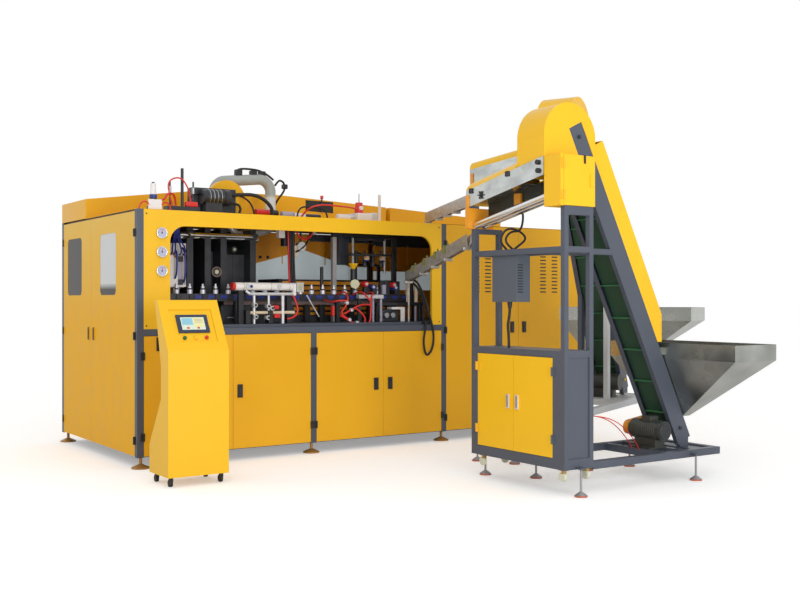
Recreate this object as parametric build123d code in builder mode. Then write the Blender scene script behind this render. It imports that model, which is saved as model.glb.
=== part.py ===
from build123d import *
from math import cos, hypot, inf, radians, sin, tan
import os

# Linear bottle blow moulding line: machine bay, control cabinet, operator console and two preform feeders.
# X runs along the line, Y runs from the operator side to the back, Z is up, all in millimetres.
# The origin is on the floor, under the front left corner of the machine, on that corner's levelling foot.

# Sheet, tubes and gaps
JOINT = 0.3  # seam between pieces that are welded or bolted together
RUNNING = 0.5  # gap round a piece that slides or turns
DOOR_GAP = 3.0
SHEET = 3.0
TUBE = 60.0
DOOR_DEPTH = 28.0
DOOR_PROUD = 2.0

# Main machine
LINE_LENGTH = 5358.0
DEPTH = 2250.0
BASE_Z = 100.0
ROOF_Z = 2310.0
BEAM_Z = 1180.0
BED_THICKNESS = 30.0
MID_POST_X = 1757.0
RIGHT_POST_X = 3342.0
CABINET_DEPTH = 280.0
CABINET_SPLIT = 0.5173  # share of the cabinet's width taken by its left leaf
LOWER_SEAMS = (925.0, 2602.0)
END_SPLIT = 0.5622  # share of the depth taken by the front end door
REAR_RAIL_Z = ROOF_Z - 90

# Front fascia
FASCIA_DEPTH = 28.0
WINDOW_X = (307.0, 3215.0)
WINDOW_TOP = ROOF_Z - 140
WINDOW_RADIUS = 150.0
GAUGE_X = 222.0
GAUGE_Z = (ROOF_Z - 210, ROOF_Z - 380, ROOF_Z - 550)
GAUGE_RADIUS = 50.0
GAUGE_PROUD = 24.0

# End doors
END_DOOR_DEPTH = 25.0
END_WINDOWS = {"front": (558.0, 1010.0), "rear": (DEPTH - 671, DEPTH - 204)}
END_WINDOW_Z = (1547.0, ROOF_Z - 182)
END_WINDOW_RADIUS = 50.0
PANE = 5.0

# Rear housings on the roof
HOOD_FRONT_Y = 1450.0
HOOD_RISES = ((0.0, 199.0), (1200.0, 353.0), (2150.0, 360.0))  # place along the line and rise over the roof
HOOD_RIGHT_X = 3590.0
HOOD_RIGHT_RISE = 292.0

# Clamp
PLATEN_Y = (550.0, 1350.0)
PLATEN_TOP = ROOF_Z - 110
PLATEN_THICKNESS = 64.0
PLATEN_X = {"back": 697.0, "cross": 882.0, "moving": 1049.0, "fixed": 1369.0}
TIE_RADIUS = 25.0
TIE_INSET = 84.0
CLAMP_STROKE = 95.0
CLAMP_ROD_RADIUS = 30.0
CLAMP_CYLINDER_RADIUS = 85.0
CLAMP_CYLINDER_LENGTH = 195.0
MOULD_INSET = 140.0
MOULD_SPLIT = 2.0

# Preform conveyor
RAIL_Y = 380.0
RAIL_WIDTH = 90.0
RAIL_TOP = 1560.0
RAIL_HEIGHT = 70.0
RAIL_X = (130.0, 3290.0)
MANDREL_PITCH = 132.0
MANDREL_COUNT = 23
MANDREL_RADIUS = 25.0
MANDREL_HEIGHT = 95.0

# Loading head
LOADER_Y = 600.0
LOADER_X = (2345.0, 3155.0)
LOADER_Z = ROOF_Z - 140
LOADER_ROD_RADIUS = 14.0
HEAD_X = (2545.0, 3070.0)
HEAD_Z = 1975.0
HEAD_THICKNESS = 20.0
HEAD_STROKE = 120.0
NOZZLE_RADIUS = 17.0
NOZZLE_COUNT = 4
NOZZLE_PITCH = 140.0

# Transfer cylinder
TRANSFER_Y = 140.0
TRANSFER_Z = 1630.0
TRANSFER_X = (1005.0, 1640.0)
TRANSFER_RADIUS = 38.0
TRANSFER_ROD_RADIUS = 10.0
TRANSFER_STROKE = 300.0

# Operator console
CONSOLE_X = (-125.0, 400.0)
CONSOLE_FRONT_Y = -1040.0
CONSOLE_BASE_Z = 80.0
CONSOLE_FOLD_Z = 1087.0
CONSOLE_TOP_Z = 1500.0
CONSOLE_SLOPE_RUN = 240.0
CONSOLE_TOP_DEPTH = 50.0
CONSOLE_WAIST = (155.0, 968.0)
CONSOLE_BASE_DEPTH = 410.0
BUTTON_RADIUS = 15.0
BUTTON_TRAVEL = 4.0
BUTTON_PITCH = 95.0
SCREEN_SIZE = (270.0, 165.0)
RECESS_SIZE = (370.0, 300.0)
RECESS_DEPTH = 10.0
CASTER_RADIUS = 30.0

# Levelling feet
FOOT_RADIUS = 80.0
FOOT_PAD = 12.0
FOOT_DOME = 42.0
FOOT_STEM = 14.0
FOOT_INSET = 50.0

# Preform feeder, in its own frame: u across the line, v towards the machine
FEEDER_ORIGIN = (2207.0, -3100.0)
REAR_ORIGIN = (3255.0, -2300.0)
REAR_TURN = 25.4
REAR_LIFT = 288.0
FEEDER_WIDTH = 303.0
FEEDER_LENGTH = 1137.0
FEEDER_POST = 42.0
FEEDER_RING = 80.0
FEEDER_BASE_Z = 205.0
FEEDER_CABINET_TOP = 1110.0
FEEDER_CROSS_Z = (1864.0, 1910.0)
FEEDER_TALL_Z = 2217.0
FEEDER_SHORT_Z = 2100.0
FEEDER_DOOR_V = (134.0, 1052.0)
FEEDER_DOOR_Z = (320.0, 1058.0)
BASE_RAIL = 60.0
BASE_RAIL_END = 1796.0
BASE_RAIL_FAR_V = 700.0
CONTROL_BOX_U = (30.0, 175.0)
CONTROL_BOX_V = (592.0, 897.0)
CONTROL_BOX_HEIGHT = 380.0
FEEDER_FOOT_RADIUS = 50.0

# Inclined elevator of the feeder
ELEVATOR_BOTTOM = (1562.0, 298.0)
ELEVATOR_TOP = (281.5, 2881.0)
CHANNEL_DEPTH = 160.0
CHANNEL_FLANGE = 42.0
CHANNEL_WEB = 6.0
CHANNEL_V = (185.0, 490.0)
PULLEY_RADIUS = 50.0
PULLEY_INSET = (125.0, 105.0)
BELT_THICKNESS = 4.0
CLEAT_HEIGHT = 20.0
CLEAT_PITCH = 300.0
COVER_RISE = 150.0
COVER_FOOT_Z = 1150.0
HOOD_CENTRE = (229.0, 2773.0)
HOOD_RADIUS = 274.0
HOOD_SKIRT_Z = 2470.0
HOOD_BOX_U = (-44.0, 315.0)
HOOD_BOX_V = (-5.0, 180.0)
HOOD_BOX_TOP = 2610.0
SHAFT_RADIUS = 15.0

# Hopper of the feeder
HOPPER_V = (-540.0, 800.0)
HOPPER_RIGHT_U = 1823.0
HOPPER_RIM_Z = 1140.0
HOPPER_SKIRT = 130.0
HOPPER_OUTLET_Z = 505.0
HOPPER_OUTLET_WIDTH = 90.0

# Inclined unscrambler of the feeder
SCRAMBLER_SLOPE = 11.1
SCRAMBLER_V = (100.0, 1146.0)
SCRAMBLER_TOP_Z = 2609.0
SCRAMBLER_PANEL = 145.0
SCRAMBLER_U = (-53.0, 196.0)
ROLLER_RADIUS = 30.0
ROLLER_DROP = 300.0
ROLLER_U = (10.0, 92.0)
LID_RISE = 80.0
LID_LENGTH = 800.0

# Preform chutes
CHUTE_WIDTH = 44.0
CHUTE_PLATE = 4.0
CHUTE_HEIGHT = 110.0
FRONT_CHUTE = ((2240.0, -1890.0, 2010.0), (3045.0, 215.0, 1740.0))
REAR_CHUTE = ((2762.0, -1245.0, 2430.0), (3420.0, 373.0, 2400.0))

BED_TOP = BEAM_Z + TUBE + JOINT + BED_THICKNESS
CABINET_X = RIGHT_POST_X + TUBE + JOINT
CABINET_SEAM_X = CABINET_X + CABINET_SPLIT * (LINE_LENGTH - CABINET_X)
END_SEAM_Y = END_SPLIT * DEPTH
FRONT_PLACE = Location((FEEDER_ORIGIN[0], FEEDER_ORIGIN[1], 0))
REAR_PLACE = Location((REAR_ORIGIN[0], REAR_ORIGIN[1], REAR_LIFT), (0, 0, REAR_TURN))

os.makedirs("parts", exist_ok=True)


def block(x, y, z, mode=Mode.ADD):
    """A square-edged piece between two values on each axis, given in either order."""
    with Locations((sum(x) / 2, sum(y) / 2, sum(z) / 2)):
        Box(abs(x[1] - x[0]), abs(y[1] - y[0]), abs(z[1] - z[0]), mode=mode)


def span(low, high):
    """The clear length between two tubes, less a seam at each end."""
    return (low + JOINT, high - JOINT)


def slab(points, v, mode=Mode.ADD):
    """An upright plate: its outline lies in the XZ plane and it spans two Y values."""
    with BuildSketch(Plane.XZ.offset(-v[1])) as outline:
        with BuildLine():
            Polyline(*points, close=True)
        make_face()
    extrude(outline.sketch, amount=v[1] - v[0], mode=mode)


def bar(start, end, radius, mode=Mode.ADD):
    """A round bar from one point to another."""
    run = Vector(*end) - Vector(*start)
    with BuildSketch(Plane(origin=start, z_dir=run)) as section:
        Circle(radius)
    extrude(section.sketch, amount=run.length, mode=mode)


def hose(points, diameter, bend=inf):
    """A round hose through the points, each corner rounded as widely as its runs and the bend allow."""
    spots = [Vector(*point) for point in points]
    radii = []
    for before, here, after in zip(spots, spots[1:], spots[2:]):
        turn = radians((here - before).get_angle(after - here))
        run = min((here - before).length, (after - here).length)
        radii.append(min(bend, 0.45 * run / tan(turn / 2)))
    with BuildLine() as route:
        FilletPolyline(*spots, radius=radii)
    with BuildSketch(Plane(origin=spots[0], z_dir=spots[1] - spots[0])) as section:
        Circle(diameter / 2)
    sweep(section.sketch, path=route.line)


def save(builder, name):
    """Label a finished sub-part and write it as its own file."""
    builder.part.label = name
    export_step(builder.part, f"parts/{name}.step")


# Welded tube frame
SILL_Y = (DOOR_DEPTH + DOOR_GAP, DOOR_DEPTH + DOOR_GAP + TUBE)
BACK_Y = (DEPTH - TUBE, DEPTH)
END_POST_Y = (CABINET_DEPTH + 10, CABINET_DEPTH + 10 + TUBE)
LEFT_RAIL_X = (END_DOOR_DEPTH + DOOR_GAP, END_DOOR_DEPTH + DOOR_GAP + TUBE)
LEVELS = (BASE_Z, BEAM_Z, ROOF_Z - TUBE)
with BuildPart() as main_frame:
    for post_x in (0, RIGHT_POST_X):
        block((post_x, post_x + TUBE), (0, TUBE), (BASE_Z, ROOF_Z))
    block((MID_POST_X, MID_POST_X + TUBE), (0, TUBE), (BASE_Z, BEAM_Z - JOINT))
    block((LINE_LENGTH - TUBE, LINE_LENGTH), END_POST_Y, (BASE_Z, ROOF_Z))
    for post_x in (0, MID_POST_X, RIGHT_POST_X, LINE_LENGTH - TUBE):
        block((post_x, post_x + TUBE), BACK_Y, (BASE_Z, ROOF_Z))
    for low, high in ((TUBE, MID_POST_X), (MID_POST_X + TUBE, RIGHT_POST_X)):
        block(span(low, high), SILL_Y, (BASE_Z, BASE_Z + TUBE))
    for sill_y in (SILL_Y, (CABINET_DEPTH - TUBE, CABINET_DEPTH)):
        block((CABINET_X, LINE_LENGTH), sill_y, (BASE_Z, BASE_Z + TUBE))
    block(span(TUBE, RIGHT_POST_X), (0, TUBE), (BEAM_Z, BEAM_Z + TUBE))
    block(span(TUBE, RIGHT_POST_X), SILL_Y, (ROOF_Z - TUBE, ROOF_Z))
    block((LINE_LENGTH - TUBE / 2, LINE_LENGTH), (0, DOOR_DEPTH), (BASE_Z, ROOF_Z))
    for level in LEVELS:
        block(LEFT_RAIL_X, span(SILL_Y[1], DEPTH - TUBE), (level, level + TUBE))
        block((LINE_LENGTH - TUBE, LINE_LENGTH), span(END_POST_Y[1], DEPTH - TUBE), (level, level + TUBE))
    for low, high in (
        (TUBE, MID_POST_X),
        (MID_POST_X + TUBE, RIGHT_POST_X),
        (RIGHT_POST_X + TUBE, LINE_LENGTH - TUBE),
    ):
        for level in (BASE_Z, BEAM_Z, REAR_RAIL_Z):
            block(span(low, high), BACK_Y, (level, level + TUBE))
    for post_x, first in ((MID_POST_X, SILL_Y[1]), (RIGHT_POST_X, TUBE)):
        block((post_x, post_x + TUBE), span(first, DEPTH - TUBE), (ROOF_Z - TUBE, ROOF_Z))
        block((post_x, post_x + TUBE), span(TUBE, DEPTH - TUBE), (BEAM_Z, BEAM_Z + TUBE))
save(main_frame, "main_frame")

# Machined bed plates that carry the clamp, the conveyor and the ovens
with BuildPart() as bed_plate:
    block(
        (TUBE + DOOR_GAP, RIGHT_POST_X + TUBE / 2),
        (TUBE + DOOR_GAP, DEPTH - TUBE - DOOR_GAP),
        (BED_TOP - BED_THICKNESS, BED_TOP),
    )
    block(
        (RIGHT_POST_X + TUBE / 2 + JOINT, LINE_LENGTH - TUBE - DOOR_GAP),
        (END_POST_Y[1] + DOOR_GAP, DEPTH - TUBE - DOOR_GAP),
        (BED_TOP - BED_THICKNESS, BED_TOP),
    )
save(bed_plate, "bed_plate")

# Folded front fascia with the wide window over the bed
FASCIA_X = span(TUBE, RIGHT_POST_X)
with BuildPart() as front_fascia:
    block(FASCIA_X, (0, FASCIA_DEPTH), (BEAM_Z + TUBE + JOINT, ROOF_Z))
    block(WINDOW_X, (0, FASCIA_DEPTH), (BEAM_Z, WINDOW_TOP), mode=Mode.SUBTRACT)
    upper_edges = front_fascia.edges().filter_by(Axis.Y)
    fillet([e for e in upper_edges if abs(e.center().Z - WINDOW_TOP) < 1], WINDOW_RADIUS)
save(front_fascia, "front_fascia")

# Sheet panels: roof, back, right end, cabinet shell and the wall behind the clamp
WALL_X = (TUBE + DOOR_GAP, RIGHT_POST_X - DOOR_GAP)
WALL_Y = (HOOD_FRONT_Y, HOOD_FRONT_Y + SHEET)
CABINET_BACK = CABINET_DEPTH + JOINT
WALL_WINDOWS = ((1020, 1600), (2090, 2250), (2360, 2790))
WALL_WINDOW_Z = (1740, 2040)
with BuildPart() as body_panels:
    block((0, RIGHT_POST_X + TUBE), (FASCIA_DEPTH + JOINT, HOOD_FRONT_Y), (ROOF_Z, ROOF_Z + SHEET))
    block((CABINET_X, LINE_LENGTH), (0, HOOD_FRONT_Y), (ROOF_Z, ROOF_Z + SHEET))
    block(WALL_X, WALL_Y, (BED_TOP, WALL_WINDOW_Z[0] - JOINT))
    block(WALL_X, WALL_Y, (WALL_WINDOW_Z[1] + JOINT, REAR_RAIL_Z + DOOR_DEPTH))
    mullions = [WALL_X[0], *[x for window in WALL_WINDOWS for x in window], WALL_X[1]]
    for left, right in zip(mullions[::2], mullions[1::2]):
        block((left, right), WALL_Y, WALL_WINDOW_Z)
    for low, high in (
        (TUBE, MID_POST_X),
        (MID_POST_X + TUBE, RIGHT_POST_X),
        (RIGHT_POST_X + TUBE, LINE_LENGTH - TUBE),
    ):
        for base, top in ((BASE_Z + TUBE, BEAM_Z), (BEAM_Z + TUBE, REAR_RAIL_Z)):
            block(span(low, high), (DEPTH - SHEET, DEPTH), span(base, top))
    for base, top in ((BASE_Z + TUBE, BEAM_Z), (BEAM_Z + TUBE, ROOF_Z - TUBE)):
        block((LINE_LENGTH - SHEET, LINE_LENGTH), span(END_POST_Y[1], DEPTH - TUBE), span(base, top))
    block((LINE_LENGTH - SHEET, LINE_LENGTH), (DOOR_DEPTH + JOINT, CABINET_DEPTH), (BASE_Z + TUBE, ROOF_Z))
    block((CABINET_X, LINE_LENGTH - SHEET), (CABINET_BACK, CABINET_BACK + SHEET), (BASE_Z, ROOF_Z))
save(body_panels, "body_panels")

# Raised rear housing with the lower band and the right-hand block
HOOD_Y = (HOOD_FRONT_Y + JOINT, DEPTH)
LEFT_HOUSING = (
    (HOOD_RISES[0][0], ROOF_Z),
    *[(x, ROOF_Z + rise) for x, rise in HOOD_RISES],
    (HOOD_RIGHT_X, ROOF_Z + HOOD_RIGHT_RISE),
    (HOOD_RIGHT_X, ROOF_Z),
)


def housing(outline):
    """A sheet housing, open below: front and back plates joined by a sheet on each other side."""
    slab(outline, (HOOD_Y[0], HOOD_Y[0] + SHEET))
    slab(outline, (HOOD_Y[1] - SHEET, HOOD_Y[1]))
    middle = span(HOOD_Y[0] + SHEET, HOOD_Y[1] - SHEET)
    for first, last in zip(outline, outline[1:]):
        run = (Vector(last[0], 0, last[1]) - Vector(first[0], 0, first[1])).normalized()
        start = Vector(first[0], 0, first[1]) + run * (SHEET + JOINT)
        end = Vector(last[0], 0, last[1]) - run * (SHEET + JOINT)
        inward = Vector(run.Z, 0, -run.X) * SHEET
        corners = (start, end, end + inward, start + inward)
        slab([(corner.X, corner.Z) for corner in corners], middle)


RIGHT_HOUSING = (
    (HOOD_RIGHT_X + TUBE, ROOF_Z),
    (HOOD_RIGHT_X + TUBE, ROOF_Z + HOOD_RIGHT_RISE),
    (LINE_LENGTH, ROOF_Z + HOOD_RIGHT_RISE - 90),
    (LINE_LENGTH, ROOF_Z),
)
with BuildPart() as rear_hood:
    housing(LEFT_HOUSING)
    housing(RIGHT_HOUSING)
save(rear_hood, "rear_hood")

# Clamp: two fixed plates on skids, tie bars, a cylinder and the carriage with its mould half
SKID_HEIGHT = 60.0
SKID_WIDTH = 100.0
PLATEN_BASE = BED_TOP + SKID_HEIGHT
PLATEN_MID_Y = sum(PLATEN_Y) / 2
CLAMP_Z = (PLATEN_BASE + PLATEN_TOP) / 2
FIXED_END = PLATEN_X["fixed"] + PLATEN_THICKNESS
MOULD_X = (PLATEN_X["moving"] + PLATEN_THICKNESS, PLATEN_X["fixed"])
MOULD_MID = sum(MOULD_X) / 2
MOULD_Y = (PLATEN_Y[0] + MOULD_INSET, PLATEN_Y[1] - MOULD_INSET)
MOULD_Z = (CLAMP_Z - 190, CLAMP_Z + 190)
CAVITY_PITCH = (MOULD_Y[1] - MOULD_Y[0]) / 4
TIE_SPOTS = [
    (y, z)
    for y in (PLATEN_Y[0] + TIE_INSET, PLATEN_Y[1] - TIE_INSET)
    for z in (PLATEN_BASE + TIE_INSET, PLATEN_TOP - TIE_INSET)
]


def platen(left, clearance):
    """A clamp plate with a hole for each tie bar."""
    block((left, left + PLATEN_THICKNESS), PLATEN_Y, (PLATEN_BASE, PLATEN_TOP))
    for y, z in TIE_SPOTS:
        bar((left, y, z), (left + PLATEN_THICKNESS, y, z), TIE_RADIUS + clearance, mode=Mode.SUBTRACT)


def cavities():
    """Bottle cavities cut on the parting face of the mould."""
    for row in range(4):
        y = MOULD_Y[0] + (row + 0.5) * CAVITY_PITCH
        bar((MOULD_MID, y, MOULD_Z[0] + 60), (MOULD_MID, y, MOULD_Z[1] - 90), 38, mode=Mode.SUBTRACT)
        bar((MOULD_MID, y, MOULD_Z[1] - 91), (MOULD_MID, y, MOULD_Z[1] + 1), 15, mode=Mode.SUBTRACT)


with BuildPart() as clamp_frame:
    platen(PLATEN_X["back"], RUNNING / 5)
    platen(PLATEN_X["fixed"], RUNNING / 5)
    bar(
        (PLATEN_X["back"], PLATEN_MID_Y, CLAMP_Z),
        (PLATEN_X["back"] + PLATEN_THICKNESS, PLATEN_MID_Y, CLAMP_Z),
        CLAMP_ROD_RADIUS + RUNNING,
        mode=Mode.SUBTRACT,
    )
    for skid_y in (PLATEN_Y[0], PLATEN_Y[1] - SKID_WIDTH):
        block(
            (PLATEN_X["back"], FIXED_END),
            (skid_y, skid_y + SKID_WIDTH),
            (BED_TOP, PLATEN_BASE - JOINT),
        )
    block((MOULD_MID + MOULD_SPLIT / 2, MOULD_X[1] - JOINT), MOULD_Y, MOULD_Z)
    cavities()
save(clamp_frame, "clamp_frame")

with BuildPart() as moving_platen:
    for left in (PLATEN_X["cross"], PLATEN_X["moving"]):
        block(
            (left, left + PLATEN_THICKNESS),
            PLATEN_Y,
            (PLATEN_BASE + RUNNING, PLATEN_TOP - 2),
        )
    for spacer_y in (PLATEN_Y[0] + 230, PLATEN_Y[1] - 230):
        block(
            (PLATEN_X["cross"] + PLATEN_THICKNESS, PLATEN_X["moving"]),
            (spacer_y - 40, spacer_y + 40),
            (CLAMP_Z - 220, CLAMP_Z + 220),
        )
    for y, z in TIE_SPOTS:
        bar(
            (PLATEN_X["cross"], y, z),
            (PLATEN_X["moving"] + PLATEN_THICKNESS, y, z),
            TIE_RADIUS + RUNNING,
            mode=Mode.SUBTRACT,
        )
    block((MOULD_X[0], MOULD_MID - MOULD_SPLIT / 2), MOULD_Y, MOULD_Z)
    cavities()
    bar(
        (PLATEN_X["back"] - CLAMP_CYLINDER_LENGTH / 3, PLATEN_MID_Y, CLAMP_Z),
        (PLATEN_X["cross"], PLATEN_MID_Y, CLAMP_Z),
        CLAMP_ROD_RADIUS,
    )
save(moving_platen, "moving_platen")

with BuildPart() as tie_bars:
    for y, z in TIE_SPOTS:
        bar((PLATEN_X["back"] - 60, y, z), (FIXED_END + 60, y, z), TIE_RADIUS)
        for nut in (PLATEN_X["back"] - 40, FIXED_END):
            bar((nut, y, z), (nut + 40, y, z), TIE_RADIUS * 1.6)
save(tie_bars, "tie_bars")

with BuildPart() as clamp_cylinder:
    cylinder_end = (PLATEN_X["back"], PLATEN_MID_Y, CLAMP_Z)
    cylinder_start = (PLATEN_X["back"] - CLAMP_CYLINDER_LENGTH, PLATEN_MID_Y, CLAMP_Z)
    bar(cylinder_start, cylinder_end, CLAMP_CYLINDER_RADIUS)
    bar(
        (PLATEN_X["back"] - CLAMP_CYLINDER_LENGTH + 20, PLATEN_MID_Y, CLAMP_Z),
        cylinder_end,
        CLAMP_ROD_RADIUS + RUNNING,
        mode=Mode.SUBTRACT,
    )
save(clamp_cylinder, "clamp_cylinder")

# Preform conveyor: a black rail on posts with a row of mandrels
RAIL_LEVELS = (RAIL_TOP - RAIL_HEIGHT, RAIL_TOP)
MANDREL_START = (sum(RAIL_X) - (MANDREL_COUNT - 1) * MANDREL_PITCH) / 2
with BuildPart() as mandrel_rail:
    block(RAIL_X, (RAIL_Y - RAIL_WIDTH / 2, RAIL_Y + RAIL_WIDTH / 2), RAIL_LEVELS)
    for post_x in (RAIL_X[0] + 40, sum(RAIL_X) / 3, sum(RAIL_X) / 1.5, RAIL_X[1] - 40):
        block(
            (post_x - 20, post_x + 20),
            (RAIL_Y - 20, RAIL_Y + 20),
            (BED_TOP, RAIL_LEVELS[0] - JOINT),
        )
save(mandrel_rail, "mandrel_rail")

with BuildPart() as mandrels:
    with Locations([(MANDREL_START + i * MANDREL_PITCH, RAIL_Y, RAIL_TOP) for i in range(MANDREL_COUNT)]):
        Cylinder(MANDREL_RADIUS, MANDREL_HEIGHT * 0.4, align=(Align.CENTER, Align.CENTER, Align.MIN))
        Cylinder(MANDREL_RADIUS * 0.7, MANDREL_HEIGHT * 0.75, align=(Align.CENTER, Align.CENTER, Align.MIN))
        Cylinder(MANDREL_RADIUS * 0.4, MANDREL_HEIGHT, align=(Align.CENTER, Align.CENTER, Align.MIN))
save(mandrels, "mandrels")

# Heating bank behind the conveyor
OVEN_X = (1800.0, 3250.0)
OVEN_Y = (760.0, 1240.0)
OVEN_Z = (BED_TOP, 1720.0)
with BuildPart() as oven_bank:
    block(OVEN_X, OVEN_Y, (OVEN_Z[0], OVEN_Z[0] + 60))
    block(OVEN_X, (OVEN_Y[0] + 120, OVEN_Y[1]), (OVEN_Z[0] + 60 + JOINT, OVEN_Z[1]))
    block(
        (OVEN_X[0] + SHEET, OVEN_X[1] - SHEET),
        (OVEN_Y[0] + 120 + SHEET, OVEN_Y[1] - SHEET),
        (OVEN_Z[0] + 60 + JOINT + SHEET, OVEN_Z[1] - SHEET),
        mode=Mode.SUBTRACT,
    )
    for end_x in (OVEN_X[0], OVEN_X[1] - 40):
        block((end_x, end_x + 40), (OVEN_Y[0], OVEN_Y[0] + 120 - JOINT), (OVEN_Z[0] + 60 + JOINT, OVEN_Z[1]))
    for row in range(6):
        lamp_z = OVEN_Z[0] + 110 + row * 55
        lamp_y = OVEN_Y[0] + 50
        bar((OVEN_X[0] + 40 + JOINT, lamp_y, lamp_z), (OVEN_X[1] - 40 - JOINT, lamp_y, lamp_z), 9)
save(oven_bank, "oven_bank")

# Loading head: posts, top beam, two guide rods and the nozzle plate that slides on them
BEAM_SIZE = 44.0
ROD_X = (HEAD_X[0] + 60, HEAD_X[1] - 60)
with BuildPart() as loader_frame:
    for post_x in (LOADER_X[0], LOADER_X[1] - BEAM_SIZE):
        block((post_x, post_x + BEAM_SIZE), (LOADER_Y - 22, LOADER_Y + 22), (BED_TOP, LOADER_Z - JOINT))
    block(LOADER_X, (LOADER_Y - 22, LOADER_Y + 22), (LOADER_Z, LOADER_Z + BEAM_SIZE))
    for rod_x in ROD_X:
        bar(
            (rod_x, LOADER_Y, HEAD_Z - HEAD_STROKE - 60),
            (rod_x, LOADER_Y, LOADER_Z - JOINT),
            LOADER_ROD_RADIUS,
        )
save(loader_frame, "loader_frame")

with BuildPart() as loader_head:
    block(HEAD_X, (LOADER_Y - 60, LOADER_Y + 60), (HEAD_Z, HEAD_Z + HEAD_THICKNESS))
    for i in range(NOZZLE_COUNT):
        nozzle_x = sum(HEAD_X) / 2 + (i - (NOZZLE_COUNT - 1) / 2) * NOZZLE_PITCH * 0.75
        bar((nozzle_x, LOADER_Y, HEAD_Z), (nozzle_x, LOADER_Y, HEAD_Z - 110), NOZZLE_RADIUS)
        bar((nozzle_x, LOADER_Y, HEAD_Z + HEAD_THICKNESS), (nozzle_x, LOADER_Y, HEAD_Z + 60), 12)
    for rod_x in ROD_X:
        bar(
            (rod_x, LOADER_Y, HEAD_Z - 1),
            (rod_x, LOADER_Y, HEAD_Z + HEAD_THICKNESS + 1),
            LOADER_ROD_RADIUS + RUNNING / 5,
            mode=Mode.SUBTRACT,
        )
save(loader_head, "loader_head")

# Transfer cylinder on two posts with a rod-mounted gripper
with BuildPart() as transfer_unit:
    bar((TRANSFER_X[0], TRANSFER_Y, TRANSFER_Z), (TRANSFER_X[1], TRANSFER_Y, TRANSFER_Z), TRANSFER_RADIUS)
    bar(
        (TRANSFER_X[0] + 40, TRANSFER_Y, TRANSFER_Z),
        (TRANSFER_X[1], TRANSFER_Y, TRANSFER_Z),
        TRANSFER_ROD_RADIUS + RUNNING / 5,
        mode=Mode.SUBTRACT,
    )
    for post_x in (TRANSFER_X[0] + 60, TRANSFER_X[1] - 60):
        block(
            (post_x - 25, post_x + 25),
            (TRANSFER_Y - 20, TRANSFER_Y + 20),
            (BED_TOP, TRANSFER_Z - TRANSFER_RADIUS - JOINT),
        )
save(transfer_unit, "transfer_unit")

with BuildPart() as transfer_gripper:
    bar(
        (TRANSFER_X[1] - TRANSFER_STROKE - 60, TRANSFER_Y, TRANSFER_Z),
        (TRANSFER_X[1] + 20, TRANSFER_Y, TRANSFER_Z),
        TRANSFER_ROD_RADIUS,
    )
    block(
        (TRANSFER_X[1] + 12, TRANSFER_X[1] + 90),
        (TRANSFER_Y - 40, TRANSFER_Y + 40),
        (TRANSFER_Z - 50, TRANSFER_Z + 40),
    )
save(transfer_gripper, "transfer_gripper")

# Valve block on its pedestal beside the clamp
VALVE_X = (480.0, 620.0)
VALVE_Y = (440.0, 530.0)
VALVE_Z = (1620.0, 2040.0)
with BuildPart() as valve_block:
    block(VALVE_X, VALVE_Y, VALVE_Z)
    block((VALVE_X[0] + 40, VALVE_X[1] - 40), (VALVE_Y[0] + 20, VALVE_Y[1]), (BED_TOP, VALVE_Z[0] - JOINT))
save(valve_block, "valve_block")

# Roof equipment: servo drive with its belt cover, three rods on a block, air filter
SERVO_X = (760.0, 1220.0)
SERVO_Y = (450.0, 690.0)
SERVO_Z = ROOF_Z + 190
SERVO_RADIUS = 72.0
ROOF_TOP = ROOF_Z + SHEET
PLINTH_TOP = ROOF_TOP + 40
MOTOR_Y = SERVO_Y[0] + 40
DUCT_Y = 1000.0
DUCT_X = (1180.0, 1825.0)
DUCT_DIAMETER = 112.0
DUCT_Z = (ROOF_Z + 405, ROOF_Z + 475)
FILTER_SPOT = (186.0, 100.0)
with BuildPart() as roof_units:
    block((SERVO_X[0], SERVO_X[1] + 110), (MOTOR_Y - 60, SERVO_Y[1] + 90), (ROOF_TOP, PLINTH_TOP))
    block(SERVO_X, (SERVO_Y[0] + 120, SERVO_Y[1]), (PLINTH_TOP, SERVO_Z + 95))
    block((SERVO_X[0] + 90, SERVO_X[0] + 260), (MOTOR_Y - 45, MOTOR_Y + 45), (PLINTH_TOP, SERVO_Z))
    bar((SERVO_X[0] + 60, MOTOR_Y, SERVO_Z), (SERVO_X[0] + 290, MOTOR_Y, SERVO_Z), SERVO_RADIUS)
    bar((SERVO_X[0] + 290, MOTOR_Y, SERVO_Z), (SERVO_X[0] + 345, MOTOR_Y, SERVO_Z), SERVO_RADIUS * 1.1)
    block((140, 232), (60, 140), (ROOF_TOP, ROOF_TOP + 35))
    bar((*FILTER_SPOT, ROOF_TOP + 35), (*FILTER_SPOT, ROOF_TOP + 137), 34)
    bar((*FILTER_SPOT, ROOF_TOP + 137), (*FILTER_SPOT, ROOF_TOP + 250), 13)
    block((380, 700), (250, 350), (ROOF_TOP, ROOF_TOP + 60))
    for rod_x, rise, radius in ((425, 290, 8), (545, 420, 14), (655, 300, 8)):
        bar((rod_x, 300, ROOF_TOP + 60), (rod_x, 300, ROOF_TOP + rise), radius)
save(roof_units, "roof_units")

COVER_Y = (SERVO_Y[1] + JOINT, SERVO_Y[1] + 70)
GUARD_X = (935.0, 1185.0)
with BuildPart() as servo_belt_guard:
    bar((GUARD_X[0], COVER_Y[0], SERVO_Z + 20), (GUARD_X[0], COVER_Y[1], SERVO_Z + 20), 85)
    bar((GUARD_X[1], COVER_Y[0], SERVO_Z), (GUARD_X[1], COVER_Y[1], SERVO_Z), 200)
    block(GUARD_X, COVER_Y, (PLINTH_TOP, SERVO_Z + 100))
    block((GUARD_X[0] + 30, GUARD_X[1] + 210), COVER_Y, (PLINTH_TOP - 100, PLINTH_TOP), mode=Mode.SUBTRACT)
save(servo_belt_guard, "servo_belt_guard")

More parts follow.
